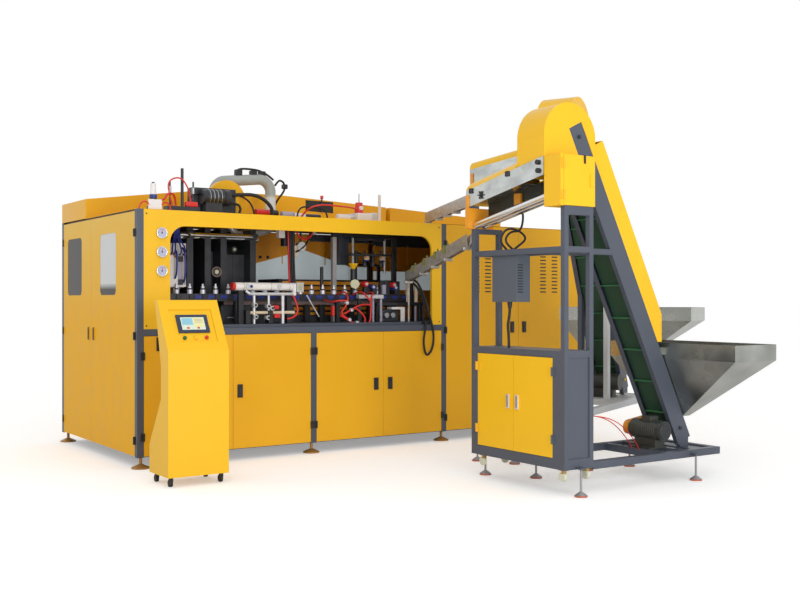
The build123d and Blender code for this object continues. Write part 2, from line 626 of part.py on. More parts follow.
with BuildPart() as exhaust_duct:
    hose(
        (
            (DUCT_X[0], DUCT_Y, ROOF_TOP),
            (DUCT_X[0], DUCT_Y, DUCT_Z[0]),
            (DUCT_X[1], DUCT_Y, DUCT_Z[1]),
            (DUCT_X[1], DUCT_Y, ROOF_TOP),
        ),
        DUCT_DIAMETER,
        130,
    )
save(exhaust_duct, "exhaust_duct")

with BuildPart() as gauges:
    for gauge_z in GAUGE_Z:
        bar((GAUGE_X, -GAUGE_PROUD, gauge_z), (GAUGE_X, 0, gauge_z), GAUGE_RADIUS)
save(gauges, "gauges")

# Levelling feet, one under each post and under the ends of the feeder rails
MACHINE_FEET = [
    (x, y)
    for x in (FOOT_INSET, MID_POST_X + TUBE / 2, RIGHT_POST_X + TUBE / 2, LINE_LENGTH - FOOT_INSET)
    for y in (FOOT_INSET, DEPTH - FOOT_INSET)
]
MACHINE_FEET[-2] = (LINE_LENGTH - FOOT_INSET, END_POST_Y[0] + TUBE / 2)
FAR_FOOT_V = BASE_RAIL_FAR_V + BASE_RAIL + 34
FEEDER_FEET = ((138, -34), (178, FEEDER_LENGTH + 34), (1448, -34), (1538, FAR_FOOT_V), (420, FAR_FOOT_V))
REAR_FEET = [(u, v) for u in (30, BASE_RAIL_END - 30) for v in (30, BASE_RAIL_FAR_V + 30)]
REAR_FEET.append((30, FEEDER_LENGTH - 30))
BRACKET_Z = FEEDER_BASE_Z + 5
RAIL_Z = (BRACKET_Z - 20, BRACKET_Z - 20 + BASE_RAIL)


def foot(x, y, radius, stem, top):
    """A levelling foot on the floor: pad, domed body and stem up to the piece it carries."""
    with Locations((x, y, 0)):
        Cylinder(radius, FOOT_PAD, align=(Align.CENTER, Align.CENTER, Align.MIN))
    with Locations((x, y, FOOT_PAD)):
        Cone(radius, stem, FOOT_DOME - FOOT_PAD, align=(Align.CENTER, Align.CENTER, Align.MIN))
    bar((x, y, FOOT_DOME - 1), (x, y, top), stem)


with BuildPart() as levelling_feet:
    for x, y in MACHINE_FEET:
        foot(x, y, FOOT_RADIUS, FOOT_STEM, BASE_Z)
    feeders = ((FRONT_PLACE, FEEDER_FEET, BRACKET_Z), (REAR_PLACE, REAR_FEET, RAIL_Z[0] + REAR_LIFT))
    for place, spots, top in feeders:
        for u, v in spots:
            spot = (place * Location((u, v, 0))).position
            foot(spot.X, spot.Y, FEEDER_FOOT_RADIUS, 9, top)
save(levelling_feet, "levelling_feet")

# Operator console
CONSOLE_FOLD = (CONSOLE_FRONT_Y, CONSOLE_FOLD_Z)
CONSOLE_CREST = (CONSOLE_FRONT_Y + CONSOLE_SLOPE_RUN, CONSOLE_TOP_Z)
SLOPE_LENGTH = hypot(CONSOLE_SLOPE_RUN, CONSOLE_TOP_Z - CONSOLE_FOLD_Z)
CONSOLE_MID_X = sum(CONSOLE_X) / 2
PANEL = Plane(
    origin=(CONSOLE_MID_X, CONSOLE_FRONT_Y, CONSOLE_FOLD_Z),
    x_dir=(1, 0, 0),
    z_dir=(0, CONSOLE_FOLD_Z - CONSOLE_TOP_Z, CONSOLE_SLOPE_RUN),
)
CONSOLE_OUTLINE = (
    (CONSOLE_FRONT_Y, CONSOLE_BASE_Z),
    CONSOLE_FOLD,
    CONSOLE_CREST,
    (CONSOLE_CREST[0] + CONSOLE_TOP_DEPTH, CONSOLE_TOP_Z),
    (CONSOLE_FRONT_Y + CONSOLE_WAIST[0], CONSOLE_WAIST[1]),
    (CONSOLE_FRONT_Y + CONSOLE_WAIST[0], CONSOLE_WAIST[1] - 270),
    (CONSOLE_FRONT_Y + CONSOLE_BASE_DEPTH, 310),
    (CONSOLE_FRONT_Y + CONSOLE_BASE_DEPTH, CONSOLE_BASE_Z),
)
RECESS_MID = SLOPE_LENGTH * 0.495
BUTTON_UP = SLOPE_LENGTH * 0.26
SCREEN_UP = SLOPE_LENGTH * 0.53
TRAY_FLOOR = RECESS_DEPTH + SHEET


def on_panel(x, up, low, high):
    """A place on the sloped panel, centred between two heights above its face."""
    return PANEL * Location((x, up, (low + high) / 2))


with BuildPart() as console_shell:
    with BuildSketch(Plane.YZ.offset(CONSOLE_X[0])):
        with BuildLine():
            Polyline(*CONSOLE_OUTLINE, close=True)
        make_face()
    extrude(amount=CONSOLE_X[1] - CONSOLE_X[0])
    with BuildSketch(Plane.YZ.offset(CONSOLE_X[0] + SHEET)):
        with BuildLine():
            Polyline(*CONSOLE_OUTLINE, close=True)
        make_face()
        offset(amount=-SHEET, kind=Kind.INTERSECTION)
    extrude(amount=CONSOLE_X[1] - CONSOLE_X[0] - 2 * SHEET, mode=Mode.SUBTRACT)
    with Locations(on_panel(0, RECESS_MID, -TRAY_FLOOR, -0.5)):
        Box(RECESS_SIZE[0] + 2 * SHEET, RECESS_SIZE[1] + 2 * SHEET, TRAY_FLOOR - 0.5)
    with Locations(on_panel(0, RECESS_MID, -RECESS_DEPTH, 1)):
        Box(RECESS_SIZE[0], RECESS_SIZE[1], RECESS_DEPTH + 1, mode=Mode.SUBTRACT)
    with Locations([on_panel(i * BUTTON_PITCH, BUTTON_UP, -TRAY_FLOOR - 1, 1) for i in (-1, 0, 1)]):
        Cylinder(BUTTON_RADIUS + RUNNING / 2, TRAY_FLOOR + 2, mode=Mode.SUBTRACT)
save(console_shell, "console_shell")

with BuildPart() as console_screen:
    with Locations(on_panel(0, SCREEN_UP, -RECESS_DEPTH, 4)):
        Box(SCREEN_SIZE[0], SCREEN_SIZE[1], RECESS_DEPTH + 4)
save(console_screen, "console_screen")

for name, i in (("start_button", -1), ("reset_button", 0), ("stop_button", 1)):
    with BuildPart() as button:
        with Locations(on_panel(i * BUTTON_PITCH, BUTTON_UP, -TRAY_FLOOR - 5, 6)):
            Cylinder(BUTTON_RADIUS, TRAY_FLOOR + 11)
        with Locations(on_panel(i * BUTTON_PITCH, BUTTON_UP, -TRAY_FLOOR - 5, -TRAY_FLOOR)):
            Cylinder(BUTTON_RADIUS + 5, 5)
    save(button, name)

CASTER_SPOTS = [
    (x, y)
    for x in (CONSOLE_X[0] + 45, CONSOLE_X[1] - 45)
    for y in (CONSOLE_FRONT_Y + 55, CONSOLE_FRONT_Y + CONSOLE_BASE_DEPTH - 55)
]


def caster(x, y, radius, top):
    """A swivel caster under a plate: mounting plate, fork and wheel."""
    block((x - 28, x + 28), (y - 28, y + 28), (top - 5, top))
    block((x - 15, x + 15), (y - 12, y + 12), (top - radius - 10, top - 5))
    wheel = (y + 14, top - 2 * radius - 20 + radius)
    bar((x - 12, wheel[0], wheel[1]), (x + 12, wheel[0], wheel[1]), radius)


with BuildPart() as feeder_casters:
    for u in (32, FEEDER_WIDTH - 32):
        for v in (40, FEEDER_LENGTH - 130):
            caster(u, v, 36, FEEDER_BASE_Z)
with BuildPart() as casters:
    for x, y in CASTER_SPOTS:
        caster(x, y, CASTER_RADIUS, CONSOLE_BASE_Z)
    with Locations(FRONT_PLACE):
        add(feeder_casters.part)
save(casters, "casters")

# Preform feeder geometry in the u-Z plane of the elevator
ELEVATOR_RUN = Vector(ELEVATOR_TOP[0] - ELEVATOR_BOTTOM[0], 0, ELEVATOR_TOP[1] - ELEVATOR_BOTTOM[1])
ELEVATOR_LENGTH = ELEVATOR_RUN.length
ELEVATOR_DIR = ELEVATOR_RUN.normalized()
ELEVATOR_NORMAL = Vector(ELEVATOR_DIR.Z, 0, -ELEVATOR_DIR.X)
HALF_CHANNEL = CHANNEL_DEPTH / 2
NEAR_V = CHANNEL_V[0]
FAR_V = CHANNEL_V[1]
BELT_V = (NEAR_V + CHANNEL_FLANGE + 5, FAR_V - CHANNEL_FLANGE - 5)
FLANGES = ((NEAR_V, NEAR_V + CHANNEL_FLANGE), (FAR_V - CHANNEL_FLANGE, FAR_V))


def along(distance, rise):
    """The (u, z) place at a distance up the elevator and a height above its centre line."""
    u = ELEVATOR_BOTTOM[0] + distance * ELEVATOR_DIR.X + rise * ELEVATOR_NORMAL.X
    z = ELEVATOR_BOTTOM[1] + distance * ELEVATOR_DIR.Z + rise * ELEVATOR_NORMAL.Z
    return (u, z)


def edge_u(z, rise):
    """Where the line at a height above the elevator's centre line crosses a level."""
    start = along(0, rise)
    return start[0] + (z - start[1]) * ELEVATOR_DIR.X / ELEVATOR_DIR.Z


def strip(first, last, low, high, v, mode=Mode.ADD):
    """A straight piece along the elevator between two heights over its centre line."""
    slab((along(first, low), along(last, low), along(last, high), along(first, high)), v, mode)


def save_both(builder, name):
    """Write a feeder piece with its twin on the rear feeder."""
    with BuildPart() as pair:
        with Locations(FRONT_PLACE, REAR_PLACE):
            add(builder.part)
    save(pair, name)


def save_front(builder, name):
    """Write a feeder piece that only the front feeder carries on a joint."""
    with BuildPart() as single:
        with Locations(FRONT_PLACE):
            add(builder.part)
    save(single, name)


# Feeder frames: a cage with a cabinet for the front one, columns on rails for the rear one
W = FEEDER_WIDTH
L = FEEDER_LENGTH
P = FEEDER_POST
FAR_RAIL_V = (BASE_RAIL_FAR_V, BASE_RAIL_FAR_V + BASE_RAIL)
PORTAL_Z = (FEEDER_TALL_Z - 67, FEEDER_TALL_Z)
RINGS = ((FEEDER_BASE_Z, FEEDER_BASE_Z + FEEDER_RING), (FEEDER_DOOR_Z[1], FEEDER_CABINET_TOP))
COLUMN_U = (1000, 1080)


def underside(u):
    """The level of the elevator's lower face, less a seam, at a place on the u axis."""
    start = along(0, -HALF_CHANNEL - JOINT)
    return start[1] + (u - start[0]) * ELEVATOR_DIR.Z / ELEVATOR_DIR.X


def column(u, v, last_z):
    """An upright on the rails whose top is cut to the levels at its two sides."""
    foot_z = RAIL_Z[1] + JOINT
    slab(((u[0], foot_z), (u[1], foot_z), (u[1], last_z[1]), (u[0], last_z[0])), v)


def base_rails(start, crosses):
    """The two rails that carry the elevator, with their cross members and the elevator's lugs."""
    for v in ((0, BASE_RAIL), FAR_RAIL_V):
        block((start, BASE_RAIL_END), v, RAIL_Z)
    for u in crosses:
        block(u, span(BASE_RAIL, FAR_RAIL_V[0]), RAIL_Z)
    lug = (1510, 1610)
    for v in FLANGES:
        ends = [ELEVATOR_BOTTOM[1] - (u - ELEVATOR_BOTTOM[0]) * ELEVATOR_DIR.X / ELEVATOR_DIR.Z for u in lug]
        column(lug, v, ends)


CROSSES = ((1130, 1190), (1360, 1420), (1490, 1630), (BASE_RAIL_END - BASE_RAIL, BASE_RAIL_END))
with BuildPart() as front_tubes:
    for u in ((0, P), (W - P, W)):
        block(u, (0, P), (FEEDER_BASE_Z, PORTAL_Z[0] - JOINT))
        block(u, (L - P, L), (FEEDER_BASE_Z, FEEDER_SHORT_Z))
        for z in (*RINGS, FEEDER_CROSS_Z):
            block(u, span(P, L - P), z)
    block((0, W), (0, P), PORTAL_Z)
    for v in ((0, P), (L - P, L)):
        for z in (*RINGS, FEEDER_CROSS_Z):
            block(span(P, W - P), v, z)
    block(span(P, W - P), (L - P, L), (FEEDER_SHORT_Z - P, FEEDER_SHORT_Z))
    for v in FLANGES:
        slab(
            (
                (W + JOINT, FEEDER_CROSS_Z[0]),
                (edge_u(FEEDER_CROSS_Z[0], -HALF_CHANNEL) - JOINT, FEEDER_CROSS_Z[0]),
                (edge_u(FEEDER_CROSS_Z[1], -HALF_CHANNEL) - JOINT, FEEDER_CROSS_Z[1]),
                (W + JOINT, FEEDER_CROSS_Z[1]),
            ),
            v,
        )
    base_rails(W + JOINT, CROSSES)
    panel_z = span(RINGS[0][1], RINGS[1][0])
    block((0, 20), (P + JOINT, FEEDER_DOOR_V[0] - DOOR_GAP), panel_z)
    block((0, 20), (FEEDER_DOOR_V[1] + DOOR_GAP, L - P - JOINT), panel_z)
    block(span(P, W - P), (10, 13), panel_z)
    block(span(P, W - P), (L - 13, L - 10), panel_z)
    block((W - 13, W - 10), span(P, L - P), panel_z)
    block(span(P, W - P), span(P, L - P), (FEEDER_CABINET_TOP - SHEET, FEEDER_CABINET_TOP))
    for u, v in FEEDER_FEET:
        inward = FAR_RAIL_V[1] if v > FAR_RAIL_V[1] else 0
        inward = L if v > L else inward
        block((u - 30, u + 30), (inward, v + 26 * (1 if v > inward else -1)), (BRACKET_Z, BRACKET_Z + 12))

with BuildPart() as rear_tubes:
    base_rails(0, (*CROSSES, (0, BASE_RAIL), COLUMN_U))
    block((0, BASE_RAIL), (FAR_RAIL_V[1] + JOINT, L), RAIL_Z)
    column((0, P), (L - P, L), (FEEDER_SHORT_Z, FEEDER_SHORT_Z))
    for v in FLANGES:
        column(COLUMN_U, v, [underside(u) for u in COLUMN_U])

with BuildPart() as feeder_frames:
    with Locations(FRONT_PLACE):
        add(front_tubes.part)
    with Locations(REAR_PLACE):
        add(rear_tubes.part)
save(feeder_frames, "feeder_frames")

# Elevator: two channels with cross bars, belt with cleats, covers, hood and pulleys
TAIL = along(PULLEY_INSET[0], 0)
HEAD = along(ELEVATOR_LENGTH - PULLEY_INSET[1], 0)
BELT_RISE = PULLEY_RADIUS + JOINT
BELT_TOP = BELT_RISE + BELT_THICKNESS
with BuildPart() as channels:
    for web in ((NEAR_V, NEAR_V + CHANNEL_WEB), (FAR_V - CHANNEL_WEB, FAR_V)):
        strip(0, ELEVATOR_LENGTH, -HALF_CHANNEL, HALF_CHANNEL, web)
    for flange in FLANGES:
        strip(0, ELEVATOR_LENGTH, -HALF_CHANNEL, CHANNEL_WEB - HALF_CHANNEL, flange)
        strip(0, ELEVATOR_LENGTH, HALF_CHANNEL - CHANNEL_WEB, HALF_CHANNEL, flange)
    for distance in (450, 1100, 1750, 2350):
        u, z = along(distance, 0)
        bar((u, NEAR_V + CHANNEL_WEB + JOINT, z), (u, FAR_V - CHANNEL_WEB - JOINT, z), 12)
    for u, z in (TAIL, HEAD):
        bar((u, NEAR_V - 1, z), (u, FAR_V + 1, z), SHAFT_RADIUS + 0.1, mode=Mode.SUBTRACT)
save_both(channels, "elevator_channels")


def loop(rise):
    """The two ends and two runs of a belt at a height over the elevator's centre line."""
    for u, z in (TAIL, HEAD):
        bar((u, BELT_V[0], z), (u, BELT_V[1], z), rise)
    strip(PULLEY_INSET[0], ELEVATOR_LENGTH - PULLEY_INSET[1], -rise, rise, BELT_V)


with BuildPart() as belt_core:
    loop(BELT_RISE)
with BuildPart() as belts:
    loop(BELT_TOP)
    run_length = ELEVATOR_LENGTH - sum(PULLEY_INSET)
    for i in range(int(run_length / CLEAT_PITCH)):
        first = PULLEY_INSET[0] + (i + 0.6) * CLEAT_PITCH
        strip(first, first + 8, BELT_TOP - 1, BELT_TOP + CLEAT_HEIGHT, BELT_V)
        strip(first, first + 8, -BELT_TOP - CLEAT_HEIGHT, 1 - BELT_TOP, BELT_V)
    add(belt_core.part, mode=Mode.SUBTRACT)
save_both(belts, "elevator_belts")


def pulley(spot, width, radius, reach):
    """A drum on its shaft, which runs through both channel webs."""
    bar((spot[0], width[0], spot[1]), (spot[0], width[1], spot[1]), radius)
    bar((spot[0], NEAR_V - reach, spot[1]), (spot[0], FAR_V + reach, spot[1]), SHAFT_RADIUS)


for name, spot in (("head_pulley", HEAD), ("tail_pulley", TAIL)):
    with BuildPart() as drum:
        pulley(spot, BELT_V, PULLEY_RADIUS, 12)
    save_front(drum, name)

CHEEK = NEAR_V - HOOD_BOX_V[1] - JOINT
HOOD_V = (NEAR_V - CHEEK, FAR_V + CHEEK)
COVER_FIRST = (COVER_FOOT_Z - along(0, HALF_CHANNEL)[1]) / ELEVATOR_DIR.Z
COVER_LAST = (HOOD_CENTRE[1] - 60 - along(0, HALF_CHANNEL)[1]) / ELEVATOR_DIR.Z
COVER_TOP = HALF_CHANNEL + COVER_RISE
with BuildPart() as covers:
    cover_foot = along(COVER_FIRST, HALF_CHANNEL)
    cover_shape = (
        cover_foot,
        (edge_u(COVER_FOOT_Z, HALF_CHANNEL) + 50, COVER_FOOT_Z),
        (edge_u(COVER_FOOT_Z, HALF_CHANNEL) + 50, COVER_FOOT_Z + 230),
        along(COVER_LAST, COVER_TOP),
        along(COVER_LAST, HALF_CHANNEL),
    )
    slab(cover_shape, (NEAR_V, NEAR_V + SHEET))
    slab(cover_shape, (FAR_V - SHEET, FAR_V))
    strip(COVER_FIRST + 240, COVER_LAST, COVER_TOP - SHEET, COVER_TOP, span(NEAR_V + SHEET, FAR_V - SHEET))
HOOD_U = (HOOD_CENTRE[0] - HOOD_RADIUS, HOOD_CENTRE[0] + HOOD_RADIUS)
BOX_WALL_V = (HOOD_BOX_V[0] + 20, HOOD_BOX_V[1] - SHEET - JOINT)
BOX_Z = (PORTAL_Z[1], HOOD_BOX_TOP)
with BuildPart() as hood:
    for cheek in ((HOOD_V[0], NEAR_V), (FAR_V, HOOD_V[1])):
        bar(
            (HOOD_CENTRE[0], cheek[0], HOOD_CENTRE[1]),
            (HOOD_CENTRE[0], cheek[1], HOOD_CENTRE[1]),
            HOOD_RADIUS,
        )
        slab(
            (
                (HOOD_U[0], HOOD_CENTRE[1]),
                (HOOD_U[0], HOOD_SKIRT_Z),
                (edge_u(HOOD_SKIRT_Z, 0), HOOD_SKIRT_Z),
                (HOOD_U[1], HOOD_CENTRE[1]),
            ),
            cheek,
        )
        strip(0, ELEVATOR_LENGTH - 6, 6 - HALF_CHANNEL, HALF_CHANNEL - 6, cheek, mode=Mode.SUBTRACT)
    with BuildSketch(Plane.XZ.offset(-FAR_V + JOINT)):
        with Locations(HOOD_CENTRE):
            Circle(HOOD_RADIUS)
            Circle(HOOD_RADIUS - SHEET, mode=Mode.SUBTRACT)
            with Locations((0, -HOOD_RADIUS)):
                Rectangle(3 * HOOD_RADIUS, 2 * HOOD_RADIUS, mode=Mode.SUBTRACT)
    extrude(amount=FAR_V - NEAR_V - 2 * JOINT)
    block((HOOD_U[0], HOOD_U[0] + SHEET), span(NEAR_V, FAR_V), (HOOD_SKIRT_Z, HOOD_CENTRE[1] - JOINT))
    for u in ((HOOD_BOX_U[0], HOOD_BOX_U[0] + SHEET), (HOOD_BOX_U[1] - SHEET, HOOD_BOX_U[1])):
        block(u, BOX_WALL_V, span(BOX_Z[0] + SHEET, BOX_Z[1] - SHEET))
    for z in ((BOX_Z[0], BOX_Z[0] + SHEET), (BOX_Z[1] - SHEET, BOX_Z[1])):
        block(HOOD_BOX_U, BOX_WALL_V, z)
    block(HOOD_BOX_U, (HOOD_BOX_V[1] - SHEET, HOOD_BOX_V[1]), BOX_Z)
    block((HOOD_BOX_U[0], HOOD_BOX_U[0] + 30), (HOOD_BOX_V[0], BOX_WALL_V[0] - JOINT), BOX_Z)
save_both(hood, "elevator_hoods")

# Hopper: skirt, four sloping walls and two brackets to the channels
HOPPER_U = (edge_u(HOPPER_RIM_Z - HOPPER_SKIRT, HALF_CHANNEL) + 8, HOPPER_RIGHT_U)
HOPPER_FOLD_Z = HOPPER_RIM_Z - HOPPER_SKIRT
OUTLET_U = edge_u(HOPPER_OUTLET_Z, HALF_CHANNEL) + 10


def tray(inset, low, high):
    """The hopper's outside, made smaller by an inset, between two levels."""
    with BuildSketch(Plane.XY.offset(high)) as mouth:
        with Locations((sum(HOPPER_U) / 2, sum(HOPPER_V) / 2)):
            Rectangle(HOPPER_U[1] - HOPPER_U[0] - 2 * inset, HOPPER_V[1] - HOPPER_V[0] - 2 * inset)
    with BuildSketch(Plane.XY.offset(low)) as throat:
        with Locations((OUTLET_U + HOPPER_OUTLET_WIDTH / 2, sum(CHANNEL_V) / 2)):
            Rectangle(HOPPER_OUTLET_WIDTH - 2 * inset, 3 * HOPPER_OUTLET_WIDTH - 2 * inset)
    return (throat.sketch, mouth.sketch)


with BuildPart() as hopper:
    loft(tray(0, HOPPER_OUTLET_Z, HOPPER_FOLD_Z))
    block(HOPPER_U, HOPPER_V, (HOPPER_FOLD_Z, HOPPER_RIM_Z))
    loft(tray(SHEET, HOPPER_OUTLET_Z, HOPPER_FOLD_Z), mode=Mode.SUBTRACT)
    block(
        (HOPPER_U[0] + SHEET, HOPPER_U[1] - SHEET),
        (HOPPER_V[0] + SHEET, HOPPER_V[1] - SHEET),
        (HOPPER_FOLD_Z, HOPPER_RIM_Z + 1),
        mode=Mode.SUBTRACT,
    )
    for v in FLANGES:
        slab(
            (
                (edge_u(HOPPER_FOLD_Z + 30, HALF_CHANNEL), HOPPER_FOLD_Z + 30),
                (HOPPER_U[0], HOPPER_FOLD_Z + 30),
                (HOPPER_U[0], HOPPER_FOLD_Z + 90),
                (edge_u(HOPPER_FOLD_Z + 90, HALF_CHANNEL), HOPPER_FOLD_Z + 90),
            ),
            v,
        )
save_both(hopper, "hoppers")

# Elevator drive: motor on two cross members and its belt guard behind the channel
MOTOR_SPOT = (1275.0, 400.0)
MOTOR_RADIUS = 82.0
MOTOR_V = (150.0, 482.0)
GUARD_V = (FAR_V + 20, FAR_V + 75)
with BuildPart() as drive:
    motor_u, motor_z = MOTOR_SPOT
    base_v = (MOTOR_V[0] + 60, MOTOR_V[1] - 40)
    bar((motor_u, MOTOR_V[0], motor_z), (motor_u, MOTOR_V[1], motor_z), MOTOR_RADIUS)
    bar((motor_u, MOTOR_V[1] - 1, motor_z), (motor_u, GUARD_V[0], motor_z), SHAFT_RADIUS)
    block((motor_u - 120, motor_u + 90), base_v, (RAIL_Z[1], RAIL_Z[1] + 12))
    block((motor_u - 50, motor_u + 50), base_v, (RAIL_Z[1] + 12, motor_z))
save_both(drive, "drive_motors")

with covers:
    for spot, radius in ((MOTOR_SPOT, 62), (TAIL, 84)):
        bar((spot[0], GUARD_V[0], spot[1]), (spot[0], GUARD_V[1], spot[1]), radius)
    slab(
        (
            (MOTOR_SPOT[0], MOTOR_SPOT[1] - 62),
            (TAIL[0], TAIL[1] - 84),
            (TAIL[0], TAIL[1] + 84),
            (MOTOR_SPOT[0], MOTOR_SPOT[1] + 62),
        ),
        GUARD_V,
    )
    block((MOTOR_SPOT[0] + 100, MOTOR_SPOT[0] + 140), GUARD_V, (RAIL_Z[1], MOTOR_SPOT[1]))
save_both(covers, "elevator_covers")

# Unscrambler: two side panels, floor, end box, bearing plate and two rollers, all on one slope
SLOPE_TAN = tan(radians(SCRAMBLER_SLOPE))
SLOPE_COS = cos(radians(SCRAMBLER_SLOPE))
SLOPE_SIN = sin(radians(SCRAMBLER_SLOPE))
SLOPE_START = HOOD_BOX_V[1] + JOINT
END_BOX_V = (L - P + 4, L - P + 46)
LID_V = (HOOD_V[1] + DOOR_GAP, SCRAMBLER_V[1])
ROLLER_V = (SLOPE_START + 22, END_BOX_V[0] - 12)


def slope_plane(v, rise=0.0):
    """A plane across the unscrambler: x is u, y points down from the top edge."""
    return Plane(
        origin=(0, v, SCRAMBLER_TOP_Z - (v - SLOPE_START) * SLOPE_TAN + rise),
        x_dir=(1, 0, 0),
        z_dir=(0, SLOPE_COS, -SLOPE_SIN),
    )


def level_at(v):
    """The level of the side panels' top edge."""
    return SCRAMBLER_TOP_Z - (v - SLOPE_START) * SLOPE_TAN


with BuildPart() as sides:
    for u, first in ((SCRAMBLER_U[0], SLOPE_START), (SCRAMBLER_U[1] - SHEET, LID_V[0])):
        with BuildSketch(Plane.YZ.offset(u)) as side:
            with BuildLine():
                Polyline(
                    (first, level_at(first)),
                    (SCRAMBLER_V[1], level_at(SCRAMBLER_V[1])),
                    (SCRAMBLER_V[1], level_at(SCRAMBLER_V[1]) - SCRAMBLER_PANEL),
                    (first, level_at(first) - SCRAMBLER_PANEL),
                    close=True,
                )
            make_face()
        extrude(side.sketch, amount=SHEET)
    with BuildSketch(Plane.YZ.offset(SCRAMBLER_U[0] + SHEET + JOINT)) as floor:
        with BuildLine():
            Polyline(
                (HOOD_V[1] + 5, level_at(HOOD_V[1] + 5) - SCRAMBLER_PANEL + 30),
                (SCRAMBLER_V[1], level_at(SCRAMBLER_V[1]) - SCRAMBLER_PANEL + 30),
                (SCRAMBLER_V[1], level_at(SCRAMBLER_V[1]) - SCRAMBLER_PANEL + 24),
                (HOOD_V[1] + 5, level_at(HOOD_V[1] + 5) - SCRAMBLER_PANEL + 24),
                close=True,
            )
        make_face()
    extrude(floor.sketch, amount=SCRAMBLER_U[1] - SCRAMBLER_U[0] - 2 * SHEET - 2 * JOINT)
save_both(sides, "unscrambler_sides")

with BuildPart() as end_box:
    top = level_at(END_BOX_V[1]) - SCRAMBLER_PANEL - 3
    block((SCRAMBLER_U[0] - 12, SCRAMBLER_U[1] + 12), END_BOX_V, (FEEDER_SHORT_Z, top))
    for u in ((SCRAMBLER_U[0] - 12, SCRAMBLER_U[0]), (SCRAMBLER_U[1], SCRAMBLER_U[1] + 12)):
        block(u, (END_BOX_V[0] + 8, END_BOX_V[1] - 8), (top - 5, top + 110))
    plate_z = level_at(SLOPE_START) - ROLLER_DROP
    block((-30, 135), (HOOD_BOX_V[1], HOOD_BOX_V[1] + 12), (plate_z - 60, plate_z + 60))
    for u in ROLLER_U:
        bar(
            (u, HOOD_BOX_V[1] - 1, level_at(HOOD_BOX_V[1] - 1) - ROLLER_DROP),
            (u, END_BOX_V[1] - 10, level_at(END_BOX_V[1] - 10) - ROLLER_DROP),
            12.1,
            mode=Mode.SUBTRACT,
        )
save_both(end_box, "end_boxes")


def roller(u):
    """A chrome roller with its shaft ends."""
    bar(
        (u, HOOD_BOX_V[1] + 4, level_at(HOOD_BOX_V[1] + 4) - ROLLER_DROP),
        (u, END_BOX_V[1] - 20, level_at(END_BOX_V[1] - 20) - ROLLER_DROP),
        12,
    )
    bar(
        (u, ROLLER_V[0], level_at(ROLLER_V[0]) - ROLLER_DROP),
        (u, ROLLER_V[1], level_at(ROLLER_V[1]) - ROLLER_DROP),
        ROLLER_RADIUS,
    )


def lid():
    """The curved cover over the unscrambler."""
    left, right = SCRAMBLER_U
    middle = (left + right) / 2
    with BuildSketch(slope_plane(LID_V[0])) as profile:
        with BuildLine():
            ThreePointArc((left, 0), (middle, -LID_RISE), (right, 0))
            Line((right, 0), (right - SHEET, 0))
            ThreePointArc((right - SHEET, 0), (middle, SHEET - LID_RISE), (left + SHEET, 0))
            Line((left + SHEET, 0), (left, 0))
        make_face()
    extrude(profile.sketch, amount=(LID_V[1] - LID_V[0]) / SLOPE_COS)


with BuildPart() as lid_builder:
    lid()
save_front(lid_builder, "unscrambler_lid")
for name, u in (("roller_front", ROLLER_U[0]), ("roller_rear", ROLLER_U[1])):
    with BuildPart() as single_roller:
        roller(u)
    save_front(single_roller, name)

with BuildPart() as control_box:
    box_z = (FEEDER_CROSS_Z[0] - CONTROL_BOX_HEIGHT, FEEDER_CROSS_Z[0])
    block(CONTROL_BOX_U, CONTROL_BOX_V, box_z)
    inside = [(low + SHEET, high - SHEET) for low, high in (CONTROL_BOX_U, CONTROL_BOX_V, box_z)]
    block(*inside, mode=Mode.SUBTRACT)
save_front(control_box, "control_boxes")


def chute(start, end, place, foot_z):
    """Twin rails with clamps, held by a bar from the feeder and one down to the machine."""
    run = Vector(*end) - Vector(*start)
    frame = Plane(origin=start, x_dir=Vector(run.Y, -run.X, 0), z_dir=run)
    low = CHUTE_HEIGHT / 2
    side = 1 if frame.y_dir.Z > 0 else -1
    with BuildSketch(frame) as rails:
        with Locations((CHUTE_WIDTH / 2, 0), (-CHUTE_WIDTH / 2, 0)):
            Rectangle(CHUTE_PLATE, CHUTE_HEIGHT)
    extrude(rails.sketch, amount=run.length)
    clamps = []
    for share in (0.03, 0.3, 0.5, 0.7, 0.97):
        spot = frame * Location((0, -side * (low + 6), run.length * share))
        clamps.append(spot.position)
        with Locations(spot):
            Box(CHUTE_WIDTH + 40, 24, 30)
    hold_z = FEEDER_SHORT_Z - 90
    with Locations(place * Location((P / 2, L + 6, hold_z))):
        Box(50, 12, 50)
    bar(tuple((place * Location((P / 2, L + 11, hold_z))).position), tuple(clamps[0]), 10)
    bar((clamps[-1].X, clamps[-1].Y, foot_z), tuple(clamps[-1]), 10)


with BuildPart() as chutes:
    chute(*FRONT_CHUTE, FRONT_PLACE, BED_TOP)
    chute(*REAR_CHUTE, REAR_PLACE, ROOF_Z + SHEET)
save(chutes, "chutes")

# Hinged doors, each a folded pan with its handle and hinge leaves
HINGE_RADIUS = 8.0
LEAF = 3.0
EAST = Vector(1, 0, 0)
NORTH = Vector(0, 1, 0)


def set_block(corner, across, inward, a, b, z, mode=Mode.ADD):
    """A piece measured from a door's hinge corner across its width and into its depth."""
    first = Vector(*corner) + across * a[0] + inward * b[0]
    last = Vector(*corner) + across * a[1] + inward * b[1]
    block((first.X, last.X), (first.Y, last.Y), z, mode=mode)


def door(corner, across, inward, width, z, depth, hinges, handle):
    """A door pan; the handle is given as place across, level, width and height."""
    set_block(corner, across, inward, (0, width), (0, depth), z)
    set_block(
        corner, across, inward, (15, width - 15), (SHEET, depth + 1), (z[0] + 15, z[1] - 15), Mode.SUBTRACT
    )
    for level in hinges:
        set_block(corner, across, inward, (10, 46), (-LEAF, 0), (level - 35, level + 35))
    place, level, wide, tall = handle
    a = (place - wide / 2, place + wide / 2)
    set_block(corner, across, inward, a, (-9, 0), (level - tall / 2, level + tall / 2))


